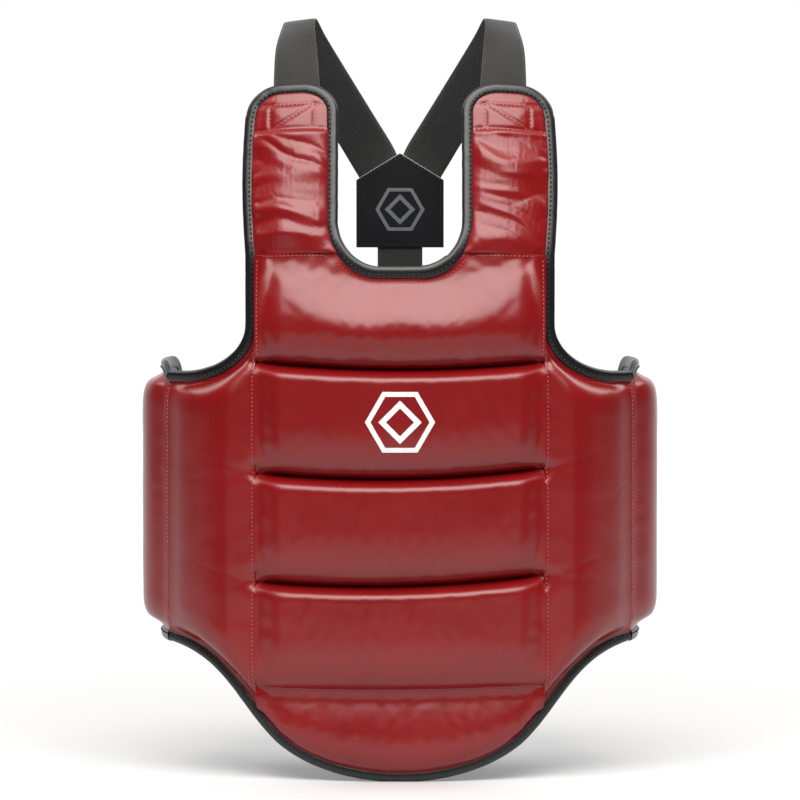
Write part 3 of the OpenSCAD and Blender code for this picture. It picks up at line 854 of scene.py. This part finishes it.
centre_skins = skins_of(chest, belly, lower, upper)
tail_row = tail_seam - [0, 2.6]
tail_blend(sewn("tail_seam_stitches", [settle(tail_row[1:-1], skins_of(tail))], red_thread))
neck_row = neck_line(11.5)
row_z, row_end = fold_z - 2.2, 122
row = joined([[-row_end, row_z], [neck_row[0][0] - 6, row_z]], neck_row[neck_row[:, 1] < fold_z - 6],
             [[neck_row[-1][0] + 6, row_z], [row_end, row_z]])
bend_at_fold(sewn("neck_seam_stitches", [settle(row, centre_skins)], red_thread))
for name, side in SIDES:
    skins = skins_of(sides[name]) + centre_skins
    hem_at = hem_line(edge_e + 6)
    foot = float(np.interp(centre_w, hem_at[:, 0], hem_at[:, 1]))
    rows = [[(side * (centre_w + 1.8), foot), (side * (centre_w + 1.8), fold_z - 4)],
            [(side * (centre_w - 1.8), upper_seam[0][1] + 6), (side * (centre_w - 1.8), fold_z - 4)],
            [(side * (centre_w + 5.0), foot + 6), (side * (centre_w + 5.0), tail_seam[0][1] + 16)]]
    rows = [settle(np.array(row), skins) for row in rows]
    bend_at_fold(sewn(name + "_centre_seam_stitches", rows, red_thread))
    row = np.array([(side * (seam_x - 1.6), hem_z + 8), (side * (seam_x - 1.6), arm_z - 8)])
    made = sewn(name + "_wing_seam_stitches", [settle(row, skins)], red_thread)
    wing_blend(made, name, side)
    skins = skins_of(shoulders[name])
    rows = [settle(np.array(line) * [side, 1], skins) for line in box_lines]
    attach(sewn(name + "_strap_box_stitches", rows, red_thread), "harness")

# ----------------------------------------------------------------------------------------------------
# Lining: dark blue nylon taffeta behind every panel, held flat by the same seams as the cover.
# ----------------------------------------------------------------------------------------------------


def threads(tree, way, pitch, wander):
    """One set of threads of a weave, across (X) or along (Y), at the given pitch in millimetres."""
    place = node(tree, "ShaderNodeTexCoord").outputs["UV"]
    waves_per_metre = math.pi / 10 * 1000 / pitch
    return node(tree, "ShaderNodeTexWave", {"wave_type": "BANDS", "bands_direction": way}, Vector=place,
                Scale=waves_per_metre, Distortion=wander, Detail=1.0).outputs["Fac"]


def woven_cloth(name, dark, light, pitch, rough, depth):
    """Plain woven cloth: two crossed sets of threads, with a soft sheen and cloudy fading."""
    made, tree = new_material(name)
    cross = node(tree, "ShaderNodeMath", {"operation": "MULTIPLY"}, i0=threads(tree, "X", pitch, 0.4),
                 i1=threads(tree, "Y", pitch, 0.4)).outputs[0]
    mixed = node(tree, "ShaderNodeMath", {"operation": "MULTIPLY_ADD"}, i0=cloudy(tree, 30.0, 3.0), i1=0.6,
                 i2=cross)
    surfaced(tree, two_tone(tree, mixed.outputs[0], dark, light, 0.2), rough, cross, 0.5, depth,
             Sheen_Weight=0.3)
    return made


def lay_uv(made, coordinates):
    """Gives each vertex its pattern place, in metres, as the UV of all its corners."""
    layer = made.data.uv_layers.new(name="pattern")
    for loop in made.data.loops:
        layer.data[loop.index].uv = coordinates[loop.vertex_index]


# The real weave is finer than can be seen, so it is drawn at a pitch of 0.9 mm.
lining_cloth = woven_cloth("navy_nylon_taffeta", "34375c", "5a6090", 0.9, 0.5, 0.1)


def lining(name, grid, seams, place, replaced):
    """A lining sheet with its two faces, drawn in at the quilting seams and a little full between them. Its
    flat size is its pattern's, which falls short of the cloth's own width where the body curves."""
    rows, columns = grid.shape[:2]
    pattern = grid.reshape(-1, 2)
    near = np.min([distance(pattern, line) for line in seams], axis=0)
    full = 2.2 * (1 - np.exp(-near / 14.0))
    lumps = np.array([noise.noise(Vector((p[0] / 24, p[1] / 24, 5.0))) for p in pattern]) * 0.5
    inner = place(pattern, -1.1 - full - lumps * (full > 0.3))
    outer = place(pattern, np.full(len(pattern), -0.1))
    count = len(pattern)
    faces = [tuple(reversed(f)) for f in grid_faces(rows, columns)] + grid_faces(rows, columns, count)
    rim = rim_of(rows, columns)
    for a, b in zip(rim, rim[1:] + rim[:1]):
        faces.append((a, b, b + count, a + count))
    made = add_mesh(name, np.concatenate([inner, outer]), faces, lining_cloth)
    made = closed(made, rim + [i + count for i in rim])
    lay_uv(made, np.concatenate([pattern, pattern]) / 1000)
    width, height = np.ptp(pattern[:, 0]) / 1000, np.ptp(pattern[:, 1]) / 1000
    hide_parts(*replaced)
    return made


seams_behind = grooves + [np.array([[x, 50], [x, fold_z]]) for x in (-centre_w, centre_w)]
grid = coons(tail_seam, upper_top, *centre_seams(tail_seam, upper_top), 48, 76)
made = lining("centre_lining", grid, seams_behind, on_front, ["lining_front"])
bend_at_fold(made)
rows = [line[1:-1] for line in grooves[:3]] + [tail_seam[1:-1] + [0, 2.5]]
for x in (-(centre_w - 2.0), centre_w - 2.0):
    rows.append(np.array([(x, tail_seam[0][1] + 6), (x, fold_z - 4)]))
behind, seen_behind = skins_of(made), {"start": -25.0, "stop": 5.0}
bend_at_fold(sewn("lining_stitches", [settle(row, behind, **seen_behind) for row in rows], blue_thread))
for name, side in SIDES:
    flip = np.array([side, 1])
    hem_edge = cut_x(hem_line(edge_e), centre_w, seam_x) * flip
    arm_edge = arm_line(edge_e) * flip
    centre_edge = np.array([[side * centre_w, hem_edge[0][1]], [side * centre_w, fold_z]])
    outer_edge = joined([[side * seam_x, hem_edge[-1][1]]], arm_edge)
    top_edge = np.array([[side * centre_w, fold_z], arm_edge[-1]])
    grid = coons(hem_edge, top_edge, centre_edge, outer_edge, 16, 64)
    made = lining(name + "_side_lining", grid, [centre_edge, outer_edge], on_front, ["lining_front"])
    wing_blend(made, name, side)
    row = np.array([(side * (seam_x - 2.0), hem_z + 8), (side * (seam_x - 2.0), arm_z - 8)])
    made = sewn(name + "_lining_stitches", [settle(row, skins_of(made), **seen_behind)], blue_thread)
    wing_blend(made, name, side)
    free = wing_line(edge_e)
    grid = coons(part_between(free, low_corner, free[-1])[::-1], part_between(free, free[0], top_corner),
                 np.array([free[-1], free[0]]), part_between(free, top_corner, low_corner)[::-1], 22, 44)
    made = lining(name + "_wing_lining", grid, [free, np.array([free[-1], free[0]])], on_wing(side),
                  ["lining_wing_" + name])
    wing_blend(made, name, side)
    free = flap_line(edge_e) * flip
    outer_edge = part_between(free, free[0], corners[0] * flip)
    top_edge = part_between(free, corners[0] * flip, corners[1] * flip)[::-1]
    inner_edge = part_between(free, corners[1] * flip, free[-1])[::-1]
    grid = coons(np.array([inner_edge[0], outer_edge[0]]), top_edge, inner_edge, outer_edge, 14, 32)
    made = lining(name + "_shoulder_lining", grid, [free], on_front, ["lining_shoulder_" + name])
    bend_at_fold(made)
made = lining("tail_lining", tail_grid, [tail_hem, tail_seam], on_front, ["lining_tail"])
tail_blend(made)

# ----------------------------------------------------------------------------------------------------
# Binding: a strip of black coated leather cloth, folded over every free edge and sewn through. The fold
# stands as a round bead, with one row of stitches along the middle of its front.
# ----------------------------------------------------------------------------------------------------
# The outline of the folded strip in millimetres: into the panel, and out to the front.
BINDING = [(-3.4, 2.2), (-1.6, 2.8), (0.6, 2.7), (2.6, 2.4), (3.5, 1.9), (3.6, 1.3), (3.6, -1.3), (3.4, -2.0),
           (2.4, -2.4), (0.4, -2.6), (-1.6, -2.7), (-3.4, -2.1), (-4.3, -1.1), (-4.6, 0.1), (-4.3, 1.3)]
ring_step = 3.0


def at_distance(line, d):
    """The point at distance d along a line from its start."""
    line = np.asarray(line, float)
    return np.array([np.interp(d, run_along(line), line[:, k]) for k in range(2)])


def edge_frame(line, inward_sign, before=None, after=None):
    """Evenly spaced points along an edge, and the direction into the panel at each. before and after are the
    edges that carry on from its ends, so that two pieces of binding meet squarely."""
    length = np.linalg.norm(np.diff(line, axis=0), axis=1).sum()
    path = even(line, int(length / ring_step) + 1)
    along = np.gradient(path, axis=0)
    if before is not None:
        along[0] = at_distance(line, 4) - at_distance(before[::-1], 4)
    if after is not None:
        along[-1] = at_distance(after, 4) - at_distance(line[::-1], 4)
    along /= np.linalg.norm(along, axis=1)[:, None]
    return path, np.stack([-along[:, 1], along[:, 0]], 1) * inward_sign


def tape(name, line, inward_sign, place, replaced, seed, before=None, after=None, scale=1.15, stitched=True):
    """Binding along a pattern edge, and its row of stitches. inward_sign says on which side the panel is."""
    line = np.asarray(line, float)
    path, inward = edge_frame(line, inward_sign, before, after)
    rings = len(path)
    profile = np.array(BINDING + BINDING[:1])
    around = []
    for i in range(len(BINDING)):
        before_k, a, b, c = (profile[(i + k) % len(BINDING)] for k in (-1, 0, 1, 2))
        around += [a, 0.5625 * (a + b) - 0.0625 * (before_k + c)]
    n = len(around)
    ease = np.minimum(np.minimum(np.arange(rings), np.arange(rings)[::-1]) / 3.0, 1)
    points = []
    for i in range(rings):
        wave = 0.25 * noise.noise(Vector((i * 0.4, seed, 0))) * ease[i]
        p = np.array([path[i] + inward[i] * (bind_w / 2 + a * scale + wave) for a, _ in around])
        h = np.array([b * scale + wave * (1 if b > 0 else -1) for _, b in around])
        points.append(place(p, h))
    last = (rings - 1) * n
    made = closed(add_mesh(name, np.concatenate(points), tube(rings, n), black_leather),
                  list(range(n)) + list(range(last, last + n)))
    if replaced:
        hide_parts(*replaced)
    if not stitched:
        return [made]
    row = path + inward * (bind_w / 2 + 1.3 * scale)
    low, high = place(row, np.full(rings, 2.65 * scale)), place(row, np.full(rings, 3.65))
    row_made = sewn(name + "_stitches", [(low, high - low)], black_thread, pitch=4.2, length=2.9, r=0.85)
    return [made, row_made]


tail_edge = tail_line(0)
for name, side in SIDES:
    flip = np.array([side, 1])
    arm, flap = arm_line(0) * flip, flap_line(0) * flip
    neck = neck_line(0) if side < 0 else neck_line(0)[::-1]
    hem = cut_x(hem_line(0), centre_w, seam_x) * flip
    for part in tape(name + "_armhole_binding", arm, side, on_front, ["binding_armhole_" + name], side,
                     after=flap):
        bend_at_fold(part)
    for part in tape(name + "_shoulder_binding", flap, side, on_front, ["binding_shoulder_" + name], side + 3,
                     before=arm, after=neck):
        bend_at_fold(part)
    for part in tape(name + "_wing_binding", wing_line(0), -1, on_wing(side), ["binding_wing_" + name],
                     side + 6):
        wing_blend(part, name, side)
    for part in tape(name + "_hem_binding", hem, side, on_front, ["binding_hem_" + name], side + 9, scale=1.0,
                     before=tail_edge if side > 0 else tail_edge[::-1]):
        wing_blend(part, name, side)
flap_right, flap_left = flap_line(0), flap_line(0) * [-1, 1]
for part in tape("neck_binding", neck_line(0), -1, on_front, ["binding_neck"], 12, before=flap_left,
                 after=flap_right[::-1]):
    bend_at_fold(part)
overlap = neck_line(0)
overlap = overlap[(overlap[:, 0] > 18) & (overlap[:, 1] < fold_z - 3)]
for part in tape("neck_binding_overlap", overlap, -1, on_front, [], 13, scale=1.3, stitched=False):
    bend_at_fold(part)
hem_right = cut_x(hem_line(0), centre_w, seam_x)
for part in tape("tail_binding", tail_edge, 1, on_front, ["binding_tail"], 15, scale=1.0,
                 before=(hem_right * [-1, 1])[::-1], after=hem_right):
    tail_blend(part)

# ----------------------------------------------------------------------------------------------------
# Harness webbing: 40 mm black elastic, woven with fine ribs along it. Each strap is sewn behind its flap,
# goes over the shoulder and runs down to the yoke, turning on the way.
# ----------------------------------------------------------------------------------------------------


def elastic(name, dark, light):
    """Woven elastic: dull black ribs and picks whose tops are painted a little lighter, a painted highlight,
    with a soft fuzz.
    They are drawn 1.7 mm and 2.2 mm apart, coarser than real ones, so that they show."""
    made, tree = new_material(name)
    rib, pick = threads(tree, "X", 1.7, 0.3), threads(tree, "Y", 2.2, 0.5)
    cross = node(tree, "ShaderNodeMath", {"operation": "MULTIPLY_ADD"}, i0=pick, i1=0.7, i2=rib).outputs[0]
    mixed = node(tree, "ShaderNodeMath", {"operation": "MULTIPLY_ADD"}, i0=cloudy(tree, 60.0, 4.0), i1=0.8,
                 i2=cross)
    # The colour follows the weave's height: a painted highlight on the tops of the ribs and picks, over
    # cloudy tone.
    level = node(tree, "ShaderNodeMapRange", Value=mixed.outputs[0], From_Min=0.3, From_Max=2.2)
    surfaced(tree, two_tone(tree, level.outputs[0], dark, light), 0.85, cross, 0.6, 0.3, Sheen_Weight=0.25)
    return made


black_elastic = elastic("black_woven_elastic", "131312", "31312f")


def smooth_line(points, count):
    """A Catmull-Rom curve through points in three dimensions, evenly spaced."""
    p = np.asarray(points, float)
    p = np.concatenate([[2 * p[0] - p[1]], p, [2 * p[-1] - p[-2]]])
    made = []
    for i in range(1, len(p) - 2):
        for t in np.linspace(0, 1, 12, endpoint=False):
            a, b, c, d = p[i - 1], p[i], p[i + 1], p[i + 2]
            made.append(0.5 * (2 * b + (c - a) * t + (2 * a - 5 * b + 4 * c - d) * t ** 2
                               + (3 * b - a - 3 * c + d) * t ** 3))
    made.append(p[-2])
    return even(made, count)


def ribbon(name, a, b, thick, material, across=9):
    """A flat strip between two edge lines, in millimetres, with softly rounded selvedges."""
    a, b = np.asarray(a, float), np.asarray(b, float)
    rings = len(a)
    along = np.gradient((a + b) / 2, axis=0)
    normal = np.cross(along, b - a)
    normal /= np.linalg.norm(normal, axis=1)[:, None]
    run = run_along((a + b) / 2)
    points, uv = [], []
    q = np.linspace(0, 1, across)
    edge = 1 - 0.45 * (np.abs(2 * q - 1) ** 8)
    for i in range(rings):
        width = np.linalg.norm(b[i] - a[i])
        for face in (1, -1):
            for k in (range(across) if face > 0 else reversed(range(across))):
                points.append(a[i] + (b[i] - a[i]) * q[k] + face * normal[i] * thick / 2 * edge[k])
                uv.append((q[k] * width / 1000, run[i] / 1000))
    made = closed(add_mesh(name, points, tube(rings, 2 * across), material), [])
    lay_uv(made, uv)
    return made


web_t, web_w, back_y = 1.8, 40.0, 100.0
yoke_top, yoke_shoulder, yoke_z, yoke_w = 537.0, 513.0, 453.0, 39.0
# The two edges of the right strap from the flap to the yoke: across, back and up.
STRAP_INNER = [(72, -47, 628), (74, -37, 646), (73, -20, 655), (65, 4, 640), (47, 45, 610), (22.6, 84, 570),
               (7, back_y, yoke_top + 7.5), (0.8, back_y, yoke_top - 6)]
STRAP_OUTER = [(108, -43, 626), (104, -24, 643), (100, 4, 651), (98, 24, 622), (81, 55, 588), (56.5, 87, 549),
               (41.3, back_y, yoke_top - 13.5), (28, back_y, yoke_top - 35.5)]
strap_depth, strap_rings = -3.7, 110
strap_middle = (neck_w + flap_x) / 2 - 3
sewn_at = [fold_z + flap_l + d for d in (-42, -20, 2)]
sewn_inner = [on_front([[strap_middle - web_w / 2, z]], [strap_depth])[0] for z in sewn_at]
sewn_outer = [on_front([[strap_middle + web_w / 2, z]], [strap_depth])[0] for z in sewn_at]
for name, side in SIDES:
    mirror = np.array([side, 1, 1])
    a = smooth_line(np.array(sewn_inner + STRAP_INNER), strap_rings) * mirror
    b = smooth_line(np.array(sewn_outer + STRAP_OUTER), strap_rings) * mirror
    made = ribbon(name + "_strap", a, b, web_t, black_elastic)
    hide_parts("strap_" + name)
    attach(made, "harness")

# ----------------------------------------------------------------------------------------------------
# Yoke: two house-shaped leaves of black coated leather cloth with the three webbings sewn between them.
# ----------------------------------------------------------------------------------------------------
layer, gap = 1.4, 0.2


def house(inset):
    """The outline of the yoke patch, drawn in by inset."""
    slope = (yoke_top - yoke_shoulder) / yoke_w
    drop = inset * math.sqrt(1 + slope ** 2)
    w = yoke_w - inset
    return [(-w, yoke_z + inset), (w, yoke_z + inset), (w, yoke_top - drop - slope * w), (0, yoke_top - drop),
            (-w, yoke_top - drop - slope * w)]


def leaf(name, outline, y, material, replaced, body="harness", thick=layer, bevel=0.5):
    """A flat cut piece facing front, with eased edges, its front face at y."""
    n = len(outline)
    points = [(x, y, z) for x, z in outline] + [(x, y + thick, z) for x, z in outline]
    faces = [tuple(range(n)), tuple(reversed(range(n, 2 * n)))]
    faces += [((k + 1) % n, k, k + n, (k + 1) % n + n) for k in range(n)]
    made = closed(add_mesh(name, points, faces, material, smooth=False), [])
    eased = made.modifiers.new("eased", "BEVEL")
    eased.width, eased.segments = bevel / 1000, 3
    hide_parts(replaced)
    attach(made, body)
    return made


inner_y, outer_y = back_y - web_t / 2 - gap - layer, back_y + web_t / 2 + gap
leaf("yoke_inner_leaf", house(0), inner_y, black_leather, "yoke_inner")
leaf("yoke_outer_leaf", house(0), outer_y, black_leather, "yoke_outer")


row_points = 24


def straight_row(first, last, y, out):
    """A straight row for stitches on a leaf, from first to last, and the way out of the leaf."""
    path = even([first, last], row_points)
    row = np.stack([path[:, 0], np.full(row_points, y), path[:, 1]], 1)
    return row, np.full((row_points, 3), (0, out, 0.0))


corners = house(2.6) + house(2.6)[:1]
lines = list(zip(corners, corners[1:])) + [((-36, yoke_z + 6.5), (36, yoke_z + 6.5))]
rows = [straight_row(*line, y, out) for line in lines
        for y, out in ((inner_y - 0.1, -1), (outer_y + layer + 0.1, 1))]
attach(sewn("yoke_stitches", rows, black_thread, r=0.4), "harness")
# The cut edge of the leather along the roof of the yoke shows its grey cloth backing.
corners = house(0)
rows = [straight_row(*line, back_y - web_t / 2 - 0.6, -1.0) for line in zip(corners[2:4], corners[3:5])]
roof = math.hypot(yoke_w, yoke_top - yoke_shoulder)
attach(sewn("yoke_cut_edge", rows, thread("grey_cut_backing", "a2a3a8"), pitch=99, length=roof - 0.8, r=0.5),
        "harness")

# ----------------------------------------------------------------------------------------------------
# Waist closure: the back elastic ends on a waist patch with a loop face. Each belt half is wide elastic with
# a hook face inside its end and a coated leather cloth tab outside.
# ----------------------------------------------------------------------------------------------------
belt_w, belt_z = 70.0, 237.0
patch_w, belt_end = 62.0, 3.0
patch_y = back_y + web_t / 2 + gap
loop_y = patch_y + layer + gap
hook_y = loop_y + layer + 2 * gap
belt_y = hook_y + layer + gap
hinge = (seam_x + (wing_l + 2) * math.cos(wing_turn), seam_y + (wing_l + 2) * math.sin(wing_turn))

back_rings, belt_rings = 60, 70
z = np.linspace(belt_z - belt_w / 2 + 2, yoke_z + 12, back_rings)
a = np.stack([np.full(back_rings, -web_w / 2), np.full(back_rings, back_y), z], 1)
made = ribbon("back_strap", a, a * [-1, 1, 1], web_t, black_elastic)
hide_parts("back_strap")
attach(made, "harness")


def rectangle(x0, x1, z0, z1, r=4.0):
    """A rectangle with round corners."""
    middles = [(x1 - r, z1 - r), (x0 + r, z1 - r), (x0 + r, z0 + r), (x1 - r, z0 + r)]
    return [tuple(p) for c, a0 in zip(middles, (0, 90, 180, 270)) for p in arc(c, r, r, a0, a0 + 90, 5)]


def fuzzy(name, dark, light, pitch, depth):
    """Hook or loop tape: a dense dull field of tiny hooks or loops, drawn as bumps at the given pitch in
    millimetres, with painted shade darkening the colour between them."""
    made, tree = new_material(name)
    dots = cells(tree, 1000 / pitch, 0.7)
    high = node(tree, "ShaderNodeMath", {"operation": "SUBTRACT"}, i0=cloudy(tree, 900.0, 4.0), i1=dots)
    # The colour runs from light on each bump to dark in the hollows between them: painted shade.
    surfaced(tree, two_tone(tree, dots, light, dark, high=0.6), 0.9, high.outputs[0], 0.8, depth,
             Sheen_Weight=0.4)
    return made


loop_tape = fuzzy("black_loop_tape", "161616", "2c2c2c", 0.9, 0.6)
hook_tape = fuzzy("black_hook_tape", "0d0d0d", "262626", 1.3, 0.5)
tab_h, face_h = 35, 32
leaf("waist_patch", rectangle(-patch_w, patch_w, belt_z - tab_h, belt_z + tab_h), patch_y, black_leather,
     "waist_patch")
leaf("waist_loop_face", rectangle(-patch_w + 3, patch_w - 3, belt_z - face_h, belt_z + face_h), loop_y,
     loop_tape, "waist_loop")
for name, side in SIDES:
    middle_y = belt_y + web_t / 2
    turns = np.radians(np.linspace(0, 90, 40))
    rx, ry = hinge[0] - web_t / 2 - patch_w, middle_y - hinge[1] - 1
    line = np.stack([patch_w + rx * np.cos(turns), hinge[1] + 1 + ry * np.sin(turns)], 1)
    line = even(joined(line, [[belt_end, middle_y]]), belt_rings)
    a = np.stack([side * line[:, 0], line[:, 1], np.full(belt_rings, belt_z - belt_w / 2)], 1)
    b = a + [0, 0, belt_w]
    made = ribbon(name + "_belt", a, b, web_t, black_elastic, across=13)
    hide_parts("belt_" + name)
    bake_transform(made)
    x = sorted((side * (belt_end + 1), side * (patch_w - 5)))
    leaf(name + "_hook_face", rectangle(*x, belt_z - face_h + 1, belt_z + face_h - 1), hook_y, hook_tape,
         "belt_hook_" + name, name + "_belt")
    x = sorted((side * (belt_end - 1), side * (patch_w - 6)))
    leaf(name + "_belt_tab", rectangle(*x, belt_z - tab_h, belt_z + tab_h, 6.0), belt_y + web_t + gap,
         black_leather, "belt_tab_" + name, name + "_belt")

# ----------------------------------------------------------------------------------------------------
# Emblems: a plain printed hexagon with a diamond inside it, white on the chest and grey on the yoke.
# ----------------------------------------------------------------------------------------------------


def print_ink(name, colour, rough):
    """Screen-printed ink: flat and slightly glossy, a little uneven where the skin shows through."""
    made, tree = new_material(name)
    cloud = cloudy(tree, 300.0, 3.0)
    tint = node(tree, "ShaderNodeMixRGB", {"blend_type": "MULTIPLY"}, Fac=0.12, Color1=linear(colour),
                Color2=cloud)
    surfaced(tree, tint.outputs[0], rough, cloud, 0.1, 0.2)
    return made


def polygon_ring(r0, r1, corners, turn):
    """A flat ring between two regular polygons: points and faces."""
    steps = 6
    points, faces = [], []
    for k in range(corners * steps):
        a0 = math.radians(turn + 360 * (k // steps) / corners)
        a1 = math.radians(turn + 360 * (k // steps + 1) / corners)
        q = (k % steps) / steps
        u = (math.cos(a0) * (1 - q) + math.cos(a1) * q, math.sin(a0) * (1 - q) + math.sin(a1) * q)
        points += [(u[0] * r, u[1] * r) for r in (r0, r1)]
    n = corners * steps
    for k in range(n):
        m = (k + 1) % n
        faces.append((2 * k, 2 * k + 1, 2 * m + 1, 2 * m))
    return points, faces


ink_proud, ink_t = 0.25, 0.2


def emblem(name, size, centre, drop, ink, replaced, body):
    """Lays the emblem on a surface: drop gives how far back the surface lies at each place across and up."""
    points, faces = [], []
    for r0, r1, corners, turn in ((0.84, 1.0, 6, 0), (0.4, 0.62, 4, 0)):
        p, f = polygon_ring(r0 * size, r1 * size, corners, turn)
        faces += [tuple(i + len(points) for i in face) for face in f]
        points += p
    front = [(x, drop(x, centre + z) - ink_proud, centre + z) for x, z in points]
    behind = [(x, y + ink_t, z) for x, y, z in front]
    count = len(front)
    sides = {}
    for f in faces:
        for a, b in zip(f, f[1:] + f[:1]):
            sides[(a, b)] = f
    walls = [(b, a, a + count, b + count) for a, b in sides if (b, a) not in sides]
    all_faces = faces + [tuple(i + count for i in reversed(f)) for f in faces] + walls
    made = closed(add_mesh(name, front + behind, all_faces, ink, smooth=False), [])
    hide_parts(replaced)
    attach(made, body)
    return made


chest_skin = skins_of(chest)[0]


def on_chest(x, z):
    """How far back the chest cover lies, in millimetres."""
    hit = chest_skin.ray_cast(Vector((x / 1000, -0.4, z / 1000)), Vector((0, 1, 0)))
    return hit[0].y * 1000


def on_yoke(x, z):
    """The same for the front face of the yoke, which is flat."""
    return inner_y


emblem("chest_emblem", 30, 310, on_chest, print_ink("white_screen_ink", "f0eeee", 0.45),
       "chest_emblem", "front_panel")
emblem("yoke_emblem", 22, 487, on_yoke, print_ink("grey_screen_ink", "6c7078", 0.5),
       "yoke_emblem", "harness")
